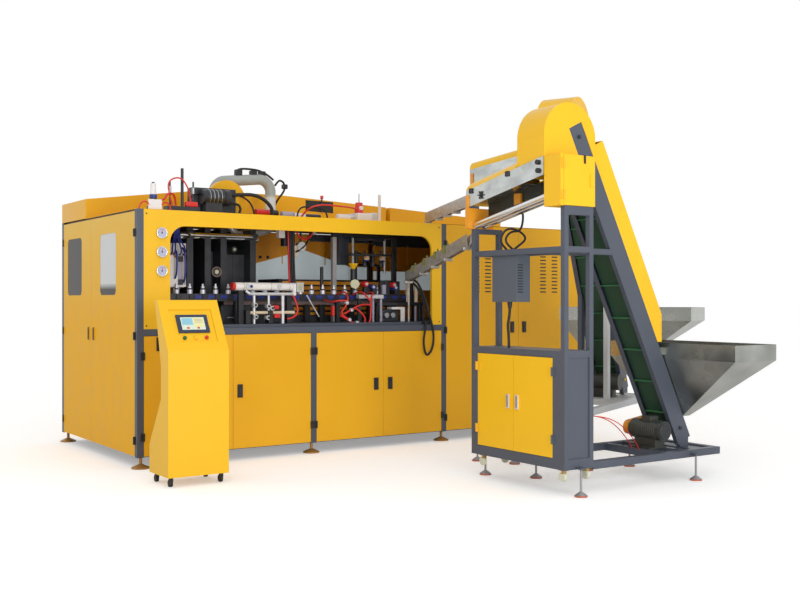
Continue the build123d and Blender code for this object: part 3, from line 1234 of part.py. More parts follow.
def barrels(corner, across, inward, hinges):
    """The fixed half of a door's hinges: barrel in front of the seam and leaf on the post."""
    axis = Vector(*corner) - across * (DOOR_GAP / 2) - inward * (HINGE_RADIUS + JOINT)
    for level in hinges:
        z = (level - 35, level + 35)
        bar((axis.X, axis.Y, z[0]), (axis.X, axis.Y, z[1]), HINGE_RADIUS)
        set_block(corner, across, inward, (-29, -DOOR_GAP), (-2 * LEAF, 0), z)
        set_block(corner, across, inward, (-DOOR_GAP, -DOOR_GAP / 2), (-2 * LEAF, -LEAF), z)


LOWER_Z = (BASE_Z + 10, BEAM_Z - 4)
CABINET_Z = (BASE_Z + 10, ROOF_Z - 4)
LOWER_HINGES = (280, 1000)
TALL_HINGES = (BASE_Z + 150, BEAM_Z, ROOF_Z - 210)
MID_LEFT = MID_POST_X - DOOR_GAP
MID_RIGHT = MID_POST_X + TUBE + DOOR_GAP
RIGHT_LEFT = RIGHT_POST_X - DOOR_GAP
RIGHT_RIGHT = RIGHT_POST_X + TUBE + DOOR_GAP
CABINET_END = LINE_LENGTH - TUBE / 2 - DOOR_GAP
HALF_GAP = DOOR_GAP / 2
SMALL_HANDLE = (50, 120)
SEAM_LEFT = CABINET_SEAM_X - HALF_GAP
SEAM_RIGHT = CABINET_SEAM_X + HALF_GAP
FRONT_DOORS = {
    "lower_door_1": (TUBE + DOOR_GAP, 1, LOWER_SEAMS[0] - HALF_GAP, LOWER_Z, LOWER_HINGES, 205, 1105),
    "lower_door_2": (MID_LEFT, -1, LOWER_SEAMS[0] + HALF_GAP, LOWER_Z, LOWER_HINGES, 995, 648),
    "lower_door_3": (MID_RIGHT, 1, LOWER_SEAMS[1] - HALF_GAP, LOWER_Z, LOWER_HINGES, 2513, 648),
    "lower_door_4": (RIGHT_LEFT, -1, LOWER_SEAMS[1] + HALF_GAP, LOWER_Z, LOWER_HINGES, 2684, 648),
    "cabinet_door_left": (RIGHT_RIGHT, 1, SEAM_LEFT, CABINET_Z, TALL_HINGES, SEAM_LEFT - 94, 1199),
    "cabinet_door_right": (CABINET_END, -1, SEAM_RIGHT, CABINET_Z, TALL_HINGES, SEAM_RIGHT + 80, 1199),
}
END_Z = (BASE_Z + 10, ROOF_Z - 18)
END_CORNERS = {"front": ((0, TUBE + DOOR_GAP), NORTH), "rear": ((0, DEPTH - TUBE - DOOR_GAP), -NORTH)}
for name, (hinge_x, way, last_x, z, hinges, handle_x, level) in FRONT_DOORS.items():
    with BuildPart() as leaf:
        handle = (abs(handle_x - hinge_x), level, SMALL_HANDLE[0], SMALL_HANDLE[1])
        door((hinge_x, 0), EAST * way, NORTH, abs(last_x - hinge_x), z, DOOR_DEPTH, hinges, handle)
    save(leaf, name)

for side, (corner, across) in END_CORNERS.items():
    window_y = END_WINDOWS[side]
    width = abs(END_SEAM_Y - corner[1]) - HALF_GAP
    with BuildPart() as leaf:
        door(corner, across, EAST, width, END_Z, END_DOOR_DEPTH, TALL_HINGES, (width - 75, 1170, 40, 120))
        with BuildSketch(Plane.YZ) as opening:
            with Locations((sum(window_y) / 2, sum(END_WINDOW_Z) / 2)):
                RectangleRounded(
                    window_y[1] - window_y[0], END_WINDOW_Z[1] - END_WINDOW_Z[0], END_WINDOW_RADIUS
                )
        extrude(opening.sketch, amount=END_DOOR_DEPTH, both=True, mode=Mode.SUBTRACT)
    save(leaf, f"end_door_{side}")
    with BuildPart() as pane:
        block(
            (SHEET, SHEET + PANE),
            (window_y[0] - 20, window_y[1] + 20),
            (END_WINDOW_Z[0] - 20, END_WINDOW_Z[1] + 20),
        )
    save(pane, f"end_pane_{side}")

FEEDER_DOOR_SEAM = 593.0
FEEDER_HINGES = (430, 950)
FEEDER_LEAF_Z = (RINGS[0][1] + DOOR_GAP, RINGS[1][0] - DOOR_GAP)
FEEDER_DOORS = {
    "feeder_door_left": ((0, FEEDER_DOOR_V[1]), -NORTH, FEEDER_DOOR_SEAM + HALF_GAP, 652),
    "feeder_door_right": ((0, FEEDER_DOOR_V[0]), NORTH, FEEDER_DOOR_SEAM - HALF_GAP, 540),
}
HOOD_DOOR_CORNER = (HOOD_BOX_U[0] + 30 + DOOR_GAP, HOOD_BOX_V[0])
HOOD_DOOR_HINGES = (2300, 2540)


def feeder_door(name):
    """One of the two doors in the feeder's cabinet."""
    corner, across, last, handle_v = FEEDER_DOORS[name]
    handle = (abs(handle_v - corner[1]), 680, 40, 120)
    door(corner, across, EAST, abs(last - corner[1]), FEEDER_LEAF_Z, 20, FEEDER_HINGES, handle)


def hood_door():
    """The access door in the box under the elevator hood."""
    width = HOOD_BOX_U[1] - HOOD_DOOR_CORNER[0]
    z = (BOX_Z[0] + DOOR_GAP, BOX_Z[1] - DOOR_GAP)
    door(HOOD_DOOR_CORNER, EAST, NORTH, width, z, 18, HOOD_DOOR_HINGES, (width - 40, 2420, 30, 90))


for name in FEEDER_DOORS:
    with BuildPart() as leaf:
        feeder_door(name)
    save_front(leaf, name)
with BuildPart() as leaf:
    hood_door()
save_front(leaf, "hood_door")

# The rear feeder's hood door, rollers, pulleys and lid stay put and share one file
with BuildPart() as rear_set:
    hood_door()
    lid()
    for u in ROLLER_U:
        roller(u)
    for spot in (HEAD, TAIL):
        pulley(spot, BELT_V, PULLEY_RADIUS, 12)
with BuildPart() as rear_fittings:
    with Locations(REAR_PLACE):
        add(rear_set.part)
save(rear_fittings, "rear_fittings")

with BuildPart() as hood_hinges:
    barrels(HOOD_DOOR_CORNER, EAST, NORTH, HOOD_DOOR_HINGES)
with BuildPart() as feeder_hinges:
    for corner, across, last, handle_v in FEEDER_DOORS.values():
        barrels(corner, across, EAST, FEEDER_HINGES)
with BuildPart() as hinges:
    for hinge_x, way, last_x, z, levels, handle_x, level in FRONT_DOORS.values():
        barrels((hinge_x, 0), EAST * way, NORTH, levels)
    for corner, across in END_CORNERS.values():
        barrels(corner, across, EAST, TALL_HINGES)
    with Locations(FRONT_PLACE):
        add(feeder_hinges.part)
    with Locations(FRONT_PLACE, REAR_PLACE):
        add(hood_hinges.part)
save(hinges, "hinges")

# Air and water hoses held at both ends
HOSES = (
    ((220, 100, ROOF_TOP + 87), (290, 100, ROOF_TOP + 87), (340, 140, ROOF_TOP + 170))
    + ((480, 300, ROOF_TOP + 170), (480, 300, ROOF_TOP + 60)),
    ((SERVO_X[1], 640, ROOF_TOP + 240), (1330, 640, ROOF_TOP + 240), (1420, 560, ROOF_TOP + 120))
    + ((1420, 560, ROOF_TOP),),
    ((1830, 420, ROOF_TOP), (1830, 420, ROOF_TOP + 127), (2010, 440, ROOF_TOP + 147))
    + ((2200, 440, ROOF_TOP + 127), (2200, 440, ROOF_TOP)),
    ((520, VALVE_Y[0], 1980), (520, 370, 1980), (515, 350, 1840), (515, 370, 1700), (515, VALVE_Y[0], 1700)),
    ((590, VALVE_Y[0], 2000), (590, 360, 2000), (600, 340, 1830), (595, 360, 1660), (595, VALVE_Y[0], 1660)),
    ((550, 485, VALVE_Z[1]), (550, 485, 2120), (650, 500, 2160))
    + ((729, 500, PLATEN_TOP - 90), (729, PLATEN_Y[0], PLATEN_TOP - 90)),
    (
        (1640, 1300, BED_TOP),
        (1640, 1300, 1480),
        (1655, 1290, 1700),
        (1640, 1300, 1900),
        (1640, 1320, 2080),
        (1640, HOOD_FRONT_Y, 2080),
    ),
    ((3000, 900, OVEN_Z[1]), (3000, 900, 1900), (3060, 1100, 2000))
    + ((3100, 1300, 2050), (3100, HOOD_FRONT_Y, 2050)),
)
with BuildPart() as hoses:
    for points in HOSES:
        hose(points, 18)
save(hoses, "hoses")
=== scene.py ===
# %% [markdown]
# A linear bottle blow moulding line: a yellow machine bay, its control cabinet, a console and two
# inclined preform feeders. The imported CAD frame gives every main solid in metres, so this script only
# dresses it: finishes, the small pieces seen through the wide window, hoses, floor, light and camera.

# %% Load the frame
import bpy
import math
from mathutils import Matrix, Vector


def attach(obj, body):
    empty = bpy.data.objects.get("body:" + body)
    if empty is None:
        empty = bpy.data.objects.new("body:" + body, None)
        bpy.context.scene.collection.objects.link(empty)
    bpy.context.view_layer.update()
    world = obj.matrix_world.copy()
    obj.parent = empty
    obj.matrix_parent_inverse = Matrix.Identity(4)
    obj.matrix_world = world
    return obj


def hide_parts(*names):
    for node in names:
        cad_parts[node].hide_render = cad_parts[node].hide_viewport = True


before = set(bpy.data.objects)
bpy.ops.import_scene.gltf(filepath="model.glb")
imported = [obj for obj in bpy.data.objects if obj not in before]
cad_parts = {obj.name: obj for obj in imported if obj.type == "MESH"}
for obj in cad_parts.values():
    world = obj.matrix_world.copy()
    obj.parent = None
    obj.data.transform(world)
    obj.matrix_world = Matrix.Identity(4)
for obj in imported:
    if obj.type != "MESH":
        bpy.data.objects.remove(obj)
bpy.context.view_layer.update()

# %% [markdown]
# Every finish is a small sum of fields, such as a noise or a height. Sums are easier to read as Python
# than as wired nodes, so one class wraps a socket and turns operators into nodes.


# %% Shader expressions
class Field:
    """A value in a material's node tree, with arithmetic written as operators."""

    tree = None

    def __init__(self, socket):
        self.socket = socket

    @classmethod
    def node(cls, kind, inputs=(), output=0, **settings):
        """Add a node; inputs are (index or name, field or constant) pairs."""
        made = cls.tree.nodes.new(kind)
        for key, value in settings.items():
            setattr(made, key, value)
        for key, value in inputs:
            if isinstance(value, Field):
                cls.tree.links.new(value.socket, made.inputs[key])
            else:
                made.inputs[key].default_value = value
        return cls(made.outputs[output])

    @staticmethod
    def sum(operation, first, second=0.0, clamp=False):
        pairs = ((0, first), (1, second))
        return Field.node("ShaderNodeMath", pairs, operation=operation, use_clamp=clamp)

    def __add__(self, other):
        return Field.sum("ADD", self, other)

    def __sub__(self, other):
        return Field.sum("SUBTRACT", self, other)

    def __rsub__(self, other):
        return Field.sum("SUBTRACT", other, self)

    def __mul__(self, other):
        return Field.sum("MULTIPLY", self, other)

    def __gt__(self, other):
        return Field.sum("GREATER_THAN", self, other)

    def __lt__(self, other):
        return Field.sum("LESS_THAN", self, other)

    def __abs__(self):
        return Field.sum("ABSOLUTE", self)

    def clamp(self):
        return Field.sum("ADD", self, 0.0, clamp=True)

    def into(self, entry):
        """Link this value to a node's input."""
        Field.tree.links.new(self.socket, entry)

    def blend(self, dark, light):
        """A colour from dark to light as this value goes from 0 to 1."""
        pairs = ((0, self), (6, dark), (7, light))
        return Field.node("ShaderNodeMix", pairs, output=2, data_type="RGBA")

    def stretch(self, low, high, to_low=0.0, to_high=1.0):
        pairs = ((0, self), (1, low), (2, high), (3, to_low), (4, to_high))
        return Field.node("ShaderNodeMapRange", pairs, clamp=True)


# %% [markdown]
# Places are read in object coordinates, which are metres in the part's frame because no piece is moved.
# Colours are written as they look on a screen and made linear here.


# %% Places, noise and colours
def axis(index):
    """One of the piece's own coordinates, in metres in the frame."""
    place = Field.node("ShaderNodeTexCoord", output="Object")
    return Field.node("ShaderNodeSeparateXYZ", ((0, place),), output=index)


def within(index, low, high):
    """1 between two places along an axis, else 0."""
    spot = axis(index)
    return (spot > low) * (spot < high)


def noise(scale, detail=3.0, spread=(1, 1, 1)):
    """Noise whose pattern is squeezed along each axis by a factor."""
    place = Field.node("ShaderNodeTexCoord", output="Object")
    spot = Field.node("ShaderNodeMapping", (("Vector", place), ("Scale", spread)))
    pairs = (("Vector", spot), ("Scale", scale), ("Detail", detail))
    return Field.node("ShaderNodeTexNoise", pairs, output=0)


def rgb(red, green, blue):
    """A display colour from 0 to 255, made linear."""
    parts = [part / 255 for part in (red, green, blue)]
    return tuple(p / 12.92 if p <= 0.04045 else ((p + 0.055) / 1.055) ** 2.4 for p in parts) + (1.0,)


def tint(colour, factor):
    return tuple(min(1.0, part * factor) for part in colour[:3]) + (1.0,)


# %% [markdown]
# Sheet metal paint is never one flat colour: its gloss wanders a little and powder coat has a fine orange
# peel. One builder gives each finish these, so they differ only in numbers. A paint function can add a
# second colour where a node has two materials.

# %% Finish builder
USUAL_NOISE = (0.3, 0.7)
GLOSS_SWING = 0.06
PEEL_SCALE = 400.0
PEEL_DEPTH = 0.001


def material(
    name, colour, rough=0.5, metal=0.0, speckle=0.06, grain=6.0, bump=0.0,
    paint=None, spread=(1, 1, 1), **extra,
):
    """A finish with a little unevenness in colour and gloss; extra values go to the sockets they name."""
    made = bpy.data.materials.new(name)
    made.use_nodes = True
    Field.tree = made.node_tree
    shader = made.node_tree.nodes["Principled BSDF"]
    shader.inputs["Metallic"].default_value = metal
    field = noise(grain, spread=spread)
    even = field.stretch(*USUAL_NOISE).blend(tint(colour, 1 - speckle), tint(colour, 1 + speckle))
    base = paint(even) if paint else even
    gloss = field.stretch(*USUAL_NOISE, max(0.02, rough - GLOSS_SWING), rough + GLOSS_SWING)
    base.into(shader.inputs["Base Color"])
    gloss.into(shader.inputs["Roughness"])
    if bump:
        fine = noise(PEEL_SCALE, 2.0, spread)
        pairs = (("Height", fine), ("Strength", bump), ("Distance", PEEL_DEPTH))
        Field.node("ShaderNodeBump", pairs).into(shader.inputs["Normal"])
    for key, value in extra.items():
        shader.inputs[key.replace("_", " ")].default_value = value
    made.diffuse_color = colour
    return made


# %% [markdown]
# The line wears few colours: two yellows, slate on the tubes, and pale, dark and silver on small parts.

# %% Shared colours
YELLOW = rgb(235, 175, 26)
BRIGHT = rgb(241, 188, 30)
SLATE = rgb(74, 80, 92)
PALE = rgb(196, 199, 200)
DARK = rgb(30, 31, 34)
SILVER = rgb(178, 178, 180)
GUARD_ORANGE = rgb(232, 150, 44)
print("yellow", [round(part, 3) for part in YELLOW])

# %% [markdown]
# Some CAD nodes hold pieces of more than one finish, such as the hinges. A mask by place tells them apart
# and leaves the CAD mesh as it is; a few masks paint light and reflections instead. First the masks of the
# machine.


# %% Paint masks of the machine
def end_top_painted_light(even):
    """Painted light: the end doors are paler towards the top."""
    return axis(2).stretch(1.3, 2.4).blend(even, rgb(233, 190, 84))


def glass_painted_reflection(even):
    """Painted reflection: the front pane is paler in its upper part, where it mirrors the bright hall."""
    bright = axis(2).stretch(1.6, 1.66) * (axis(1) < 1.26)
    return bright.blend(even, rgb(206, 208, 208))


def mandrel_collar(even):
    """A dark collar parts the foot of a mandrel from its neck."""
    return within(2, 1.5985, 1.613).blend(even, DARK)


def transfer_paint(even):
    """The posts under the white cylinder are dark."""
    return (axis(2) < 1.5915).blend(even, DARK)


def loader_paint(even):
    """Guide rods and the left post are bright steel, the beam and the right post are dark."""
    rods = within(0, 2.585, 2.63) + within(0, 2.985, 3.03) + within(0, 2.34, 2.3895)
    return (rods.clamp() * (axis(2) < 2.165)).blend(even, SILVER)


def duct_paint(even):
    """The duct's lower pipe is paler than its bend."""
    return ((axis(2) < 2.6) * (axis(0) > 1.7)).blend(even, rgb(206, 212, 214))


# %% [markdown]
# Feet, hinges and casters are each one CAD node for the whole line, so their masks ask where a piece
# stands.


# %% Paint masks of shared hardware
def feet_paint(even):
    """Amber feet under the machine, silver ones on reddish pads under the feeders."""
    silver = (axis(2) < 0.014).blend(rgb(150, 150, 154), rgb(186, 108, 84))
    return (axis(1) < -0.3).blend(even, silver)


def hinge_paint(even):
    """Black on the machine, yellow at the hood and the feeder's left leaf, slate at its right leaf."""
    feeder = within(0, 2.0, 2.6) * (axis(1) < -1.5)
    right_leaf = feeder * (axis(1) < -2.7) * (axis(2) < 1.5)
    return right_leaf.blend(feeder.blend(even, YELLOW), SLATE)


def caster_paint(even):
    """Black casters under the console, pale wheels in brass forks under the feeder."""
    fork = (axis(2) > 0.175).blend(rgb(206, 206, 184), rgb(168, 138, 78))
    return (axis(0) > 1.5).blend(even, fork)


# %% [markdown]
# The elevators lean, so a cleat is told from the belt by its height over the belt's centre line, worked
# out along the slope of each feeder. The rear feeder is also turned on the floor.

# %% Paint masks of the feeders
RUN_LEAN = math.atan2(2.583, 1.2805)
REAR_TURN = math.radians(25.4)
CLEAT_FOOT = 0.0575


def feeder_frame_paint(even):
    """The rear feeder stands on pale rails and one pale column; all else is slate."""
    rear = (axis(0) > 3.1) * (axis(1) > -2.32)
    rails = rear * (axis(2) < 0.56)
    column = rear * within(0, 3.9, 4.3) * within(1, -1.8, -1.57) * within(2, 0.54, 2.0)
    return (rails + column).clamp().blend(even, PALE)


def hopper_rim_painted_reflection(even):
    """Painted reflection: the rim of the front hopper is painted orange where it mirrors an orange
    neighbour at its right.
    """
    rim = (axis(0) > 4.03) * within(2, 1.008, 1.142) * (axis(1) < -2.3)
    return rim.blend(even, rgb(190, 122, 44))


def cover_paint(even):
    """The drive guards low down are orange."""
    return (axis(2) < 0.8).blend(even, GUARD_ORANGE)


def cleat_paint(even):
    """Cleats stand off the belt and are a brighter green."""
    x, y, z = axis(0), axis(1), axis(2)
    front = (x - 3.769) * math.sin(RUN_LEAN) + (z - 0.298) * math.cos(RUN_LEAN)
    along = (x - 3.255) * math.cos(REAR_TURN) + (y + 2.3) * math.sin(REAR_TURN)
    rear = (along - 1.562) * math.sin(RUN_LEAN) + (z - 0.586) * math.cos(RUN_LEAN)
    is_rear = y > -2.58
    cleat = (abs(front) > CLEAT_FOOT) * (1 - is_rear) + (abs(rear) > CLEAT_FOOT) * is_rear
    return cleat.clamp().blend(even, rgb(58, 112, 74))


# %% [markdown]
# Yellow powder coat covers most of the line, plain on the machine and brighter on the fascia, the console
# and the feeders. A low specular level keeps it deep at a grazing angle.

# %% Paints
yellow = material("yellow_paint", YELLOW, 0.38, speckle=0.03, grain=1.2, bump=0.05, Specular_IOR_Level=0.3)
bright_yellow = material("bright_yellow", BRIGHT, 0.36, speckle=0.02, grain=1.2, Specular_IOR_Level=0.3)
cover_yellow = material(
    "cover_yellow", BRIGHT, 0.4, speckle=0.02, paint=cover_paint, Specular_IOR_Level=0.3,
)
end_paint = material("end_door_paint", YELLOW, 0.45, speckle=0.03, paint=end_top_painted_light, Specular_IOR_Level=0.12)
inner_yellow = material("inner_yellow", rgb(246, 164, 40), 0.55, speckle=0.1, grain=2.0)
slate = material("slate_paint", SLATE, 0.45, speckle=0.06, grain=3.0, bump=0.05)
feeder_slate = material("feeder_slate", SLATE, 0.45, grain=3.0, bump=0.05, paint=feeder_frame_paint)
box_slate = material("box_slate", rgb(80, 87, 98), 0.45, grain=3.0)
white_paint = material("white_paint", rgb(228, 224, 222), 0.45, speckle=0.05)
transfer_white = material("transfer_white", rgb(228, 224, 220), 0.4, speckle=0.06, paint=transfer_paint)
lilac = material("lilac_grey", rgb(162, 158, 174), 0.5, speckle=0.05)
beige = material("beige_tube", rgb(214, 196, 168), 0.5, speckle=0.05)
pale_green = material("pale_green", rgb(204, 202, 166), 0.5, speckle=0.12, grain=20.0)
end_orange = material("end_box_orange", rgb(232, 152, 34), 0.4, speckle=0.05)
print("paints", len(bpy.data.materials))

# %% [markdown]
# Machined and polished parts differ more in roughness than in colour. The feeders' bright sheet mirrors its
# surroundings in streaks, so its colour noise is squeezed along one axis as painted reflection streaks.

# %% Metals
dark_metal = material("dark_metal", rgb(50, 52, 57), 0.4, 0.3, speckle=0.2, grain=12.0)
motor_grey = material("motor_grey", rgb(66, 68, 64), 0.45, 0.3, speckle=0.15, grain=14.0)
loader_metal = material("loader_metal", rgb(50, 52, 57), 0.38, 0.3, speckle=0.1, paint=loader_paint)
steel = material(
    "machined_steel", rgb(168, 170, 172), 0.32, 0.9, speckle=0.08, grain=20.0, spread=(1, 12, 12),
)
chrome = material("chrome", rgb(222, 224, 226), 0.12, 1.0, speckle=0.02)
aluminium = material("aluminium", rgb(205, 206, 208), 0.38, 0.5, speckle=0.05, grain=15.0)
mandrel_metal = material("mandrel_metal", rgb(212, 211, 220), 0.35, 0.3, paint=mandrel_collar)
# Strong colour noise on the mirror steel: painted reflection streaks.
mirror = material("mirror_steel", rgb(188, 192, 190), 0.2, 0.95, speckle=0.22, grain=3.0, spread=(1, 2, 3))
hopper_steel = material(
    "hopper_steel", rgb(168, 170, 164), 0.24, 0.9, speckle=0.25, grain=3.0, paint=hopper_rim_painted_reflection,
)
chute_metal = material(
    "chute_metal", rgb(168, 164, 158), 0.35, 0.45, speckle=0.25, grain=9.0, spread=(1, 1, 3),
)
duct_grey = material("duct_grey", rgb(158, 163, 158), 0.5, speckle=0.05, grain=10.0, paint=duct_paint)
feet_metal = material("feet_metal", rgb(176, 130, 66), 0.4, 0.3, speckle=0.08, paint=feet_paint)
copper = material("copper_band", rgb(128, 108, 104), 0.5, 0.3)
clamp_green = material("clamp_green", rgb(128, 130, 66), 0.4, 0.4, speckle=0.1)
print("paints and metals", len(bpy.data.materials))

# %% [markdown]
# Hoses, buttons, the belt and the panes are rubber, plastic or glass. The pale sheets behind the clamp let
# daylight through, so they get a little painted glow.

# %% Plastics and glass
black = material("black_plastic", rgb(26, 26, 28), 0.45, speckle=0.15, grain=30.0)
hinge_black = material("hinge_black", rgb(26, 26, 28), 0.45, speckle=0.1, paint=hinge_paint)
liner = material("dark_liner", rgb(52, 56, 46), 0.5, speckle=0.2, grain=5.0)
rubber = material("black_rubber", rgb(24, 24, 25), 0.7, speckle=0.1, grain=40.0)
caster_mix = material("caster_rubber", rgb(26, 26, 27), 0.6, speckle=0.1, paint=caster_paint)
red = material("red_plastic", rgb(208, 40, 34), 0.35, speckle=0.06)
blue = material("blue_plastic", rgb(34, 48, 130), 0.35, speckle=0.08)
orange = material("orange_plastic", rgb(226, 112, 40), 0.4, speckle=0.06)
green = material("green_plastic", rgb(30, 92, 52), 0.35, speckle=0.08)
# Painted glow: a weak emission stands for daylight through the pale sheets.
window_light = material(
    "window_light", rgb(200, 214, 218), 0.3, speckle=0.05, grain=1.5,
    Emission_Color=(0.75, 0.85, 0.88, 1), Emission_Strength=0.22,
)
dial_white = material("dial_white", rgb(178, 182, 206), 0.35, speckle=0.03)
belt_green = material(
    "belt_green", rgb(30, 66, 44), 0.62, speckle=0.12, grain=8.0, bump=0.1, paint=cleat_paint,
)
glass = material("door_glass", rgb(52, 48, 46), 0.12, speckle=0.1, paint=glass_painted_reflection, Specular_IOR_Level=0.1)
screen_body = material("screen_bezel", rgb(40, 50, 74), 0.4, speckle=0.03)
screen_pale = material("screen_pale", rgb(214, 226, 206), 0.3, speckle=0.02)
screen_blue = material("screen_blue", rgb(140, 196, 214), 0.3, speckle=0.02)
screen_yellow = material("screen_yellow", rgb(232, 224, 150), 0.3, speckle=0.02)
print("all finishes", len(bpy.data.materials))

# %% [markdown]
# Each CAD node gets one finish. The table reads by finish, since several nodes share each.

# %% Finish of each node
FINISH = {
    yellow: (
        "body_panels rear_hood lower_door_1 lower_door_2 lower_door_3 lower_door_4 cabinet_door_left "
        "cabinet_door_right servo_belt_guard"
    ),
    bright_yellow: (
        "front_fascia console_shell reset_button feeder_door_left feeder_door_right elevator_hoods "
        "unscrambler_lid hood_door rear_fittings"
    ),
    cover_yellow: "elevator_covers",
    end_paint: "end_door_front end_door_rear",
    slate: "main_frame elevator_channels bed_plate",
    feeder_slate: "feeder_frames",
    box_slate: "control_boxes",
    dark_metal: (
        "roof_units moving_platen clamp_frame oven_bank mandrel_rail head_pulley tail_pulley "
        "loader_head"
    ),
    motor_grey: "drive_motors",
    loader_metal: "loader_frame",
    hinge_black: "hinges",
    caster_mix: "casters",
    chrome: "tie_bars roller_front roller_rear gauges",
    aluminium: "clamp_cylinder transfer_gripper",
    transfer_white: "transfer_unit",
    white_paint: "valve_block",
    mirror: "unscrambler_sides",
    hopper_steel: "hoppers",
    chute_metal: "chutes",
    end_orange: "end_boxes",
    feet_metal: "levelling_feet",
    belt_green: "elevator_belts",
    mandrel_metal: "mandrels",
    duct_grey: "exhaust_duct",
    rubber: "hoses",
    glass: "end_pane_front end_pane_rear",
    screen_body: "console_screen",
    green: "start_button",
    red: "stop_button",
}
for finish, names in FINISH.items():
    for name in names.split():
        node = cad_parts[name]
        node.data.materials.clear()
        node.data.materials.append(finish)
print("nodes dressed", sum(len(names.split()) for names in FINISH.values()), "of", len(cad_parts))

# %% [markdown]
# Pieces of one finish that ride on one body are joined at the end, which keeps the list of pieces short.
# Until then they are kept in a group.

# %% Groups of pieces
GROUPS = {}


def choose(*objects):
    """Select these pieces alone; the first is the active one."""
    bpy.ops.object.select_all(action="DESELECT")
    for obj in objects:
        obj.select_set(True)
    bpy.context.view_layer.objects.active = objects[0]


def settle(obj, finish, body):
    """Give a piece its finish, put its place into its mesh and keep it for joining."""
    obj.data.materials.clear()
    obj.data.materials.append(finish)
    choose(obj)
    bpy.ops.object.transform_apply(location=True, rotation=True, scale=True)
    GROUPS.setdefault((finish.name, body), []).append(obj)


# %% [markdown]
# Machined pieces have broken edges, and a sharp cube or cylinder gives itself away. So each piece starts
# as a primitive at its place and size and gets a bevel that suits it.

# %% Bricks and rods
ROUND_OFF = math.radians(30)


def break_edges(obj, width, sides=2):
    """Bevel the sharp edges."""
    shape = obj.modifiers.new("bevel", "BEVEL")
    shape.width = width
    shape.segments = sides
    shape.limit_method = "ANGLE"
    bpy.ops.object.modifier_apply(modifier="bevel")


def brick(low, high, finish, body="line", bevel=None, turn=None):
    """A square piece with broken edges between two corners, turned about its centre if asked."""
    low, high = Vector(low), Vector(high)
    size = [max(abs(side), 1e-4) for side in high - low]
    bpy.ops.mesh.primitive_cube_add(size=1, location=(low + high) / 2)
    obj = bpy.context.active_object
    obj.scale = size
    bpy.ops.object.transform_apply(location=False, rotation=False, scale=True)
    break_edges(obj, bevel or min(0.003, 0.2 * min(size)), 2 if bevel else 1)
    if turn:
        obj.rotation_euler[2] = turn
    settle(obj, finish, body)


def rod(start, end, radius, finish, body="line", sides=20, tip=None):
    """A round piece with broken rims, or a cone when its tip has another radius."""
    start, end = Vector(start), Vector(end)
    run = end - start
    bpy.ops.mesh.primitive_cone_add(
        vertices=sides, radius1=radius, radius2=radius if tip is None else tip, depth=run.length,
        location=(start + end) / 2, rotation=run.to_track_quat("Z", "Y").to_euler(),
    )
    obj = bpy.context.active_object
    break_edges(obj, min(0.002, 0.12 * min(radius, run.length)), 1)
    bpy.ops.object.shade_smooth_by_angle(angle=ROUND_OFF)
    settle(obj, finish, body)


def knob(x, z, start, end, radius, finish, **more):
    """A rod along Y."""
    rod((x, start, z), (x, end, z), radius, finish, **more)


def post(x, y, start, end, radius, finish, **more):
    """An upright rod."""
    rod((x, y, start), (x, y, end), radius, finish, **more)


# %% [markdown]
# Rims and clamp bands are rings. Screens, wall sheets and a liner are outlines with a little thickness,
# so a sheet is made from its corners and may lie on any slope.


# %% Rings and sheets
def ring(centre, normal, radius, thick, finish, body="line"):
    """A torus whose axis is the normal."""
    turn = Vector(normal).to_track_quat("Z", "Y").to_euler()
    bpy.ops.mesh.primitive_torus_add(
        location=centre, rotation=turn, major_radius=radius, minor_radius=thick,
        major_segments=28, minor_segments=10,
    )
    bpy.ops.object.shade_smooth()
    settle(bpy.context.active_object, finish, body)


def sheet_piece(points, thick, finish):
    """A flat sheet with the given corners, thickened along its normal."""
    mesh = bpy.data.meshes.new("sheet_piece")
    mesh.from_pydata([Vector(p) for p in points], [], [list(range(len(points)))])
    obj = bpy.data.objects.new("sheet_piece", mesh)
    bpy.context.collection.objects.link(obj)
    choose(obj)
    shape = obj.modifiers.new("solid", "SOLIDIFY")
    shape.thickness = thick
    shape.offset = 0
    bpy.ops.object.modifier_apply(modifier="solid")
    settle(obj, finish, "line")


# %% [markdown]
# Air and water hoses are soft but short, and both ends go into a fitting. Each is one smooth NURBS curve
# with a few points: straight out of the fitting, then a loose bow. Its length is measured from the line
# itself. The frame takes at most forty cords.

# %% Hose helper
HOSES = []
SHORT_LINE = 0.24


def hose(name, points, radius, finish, body="line", stands_for=None):
    """A hose as a smooth tube through the given points, its length kept in HOSES."""
    curve = bpy.data.curves.new(name, "CURVE")
    curve.dimensions = "3D"
    curve.resolution_u = 8
    spline = curve.splines.new("NURBS")
    spline.points.add(len(points) - 1)
    for knot, point in zip(spline.points, points):
        knot.co = (*point, 1.0)
    spline.order_u = 3
    spline.use_endpoint_u = True
    line = bpy.data.objects.new(name, curve)
    bpy.context.collection.objects.link(line)
    bpy.context.view_layer.update()
    wire = bpy.data.meshes.new_from_object(line)
    spots = [vertex.co.copy() for vertex in wire.vertices]
    bpy.data.meshes.remove(wire)
    length = sum((after - before).length for before, after in zip(spots, spots[1:]))
    curve.bevel_depth = radius
    curve.bevel_resolution = 3
    curve.use_fill_caps = True
    curve.materials.append(finish)
    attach(line, body)
    length >= SHORT_LINE
    if stands_for:
        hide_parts(stands_for)
    HOSES.append((name, round(length, 3)))


def tell():
    """Print what is made so far."""
    print("pieces", sum(len(objects) for objects in GROUPS.values()), "hoses", len(HOSES))


# %% [markdown]
# Pressure gauges are seated in the fascia, with a chrome rim, a pale dial, marks and a needle. They could
# be a texture, but real rims and marks catch the light.

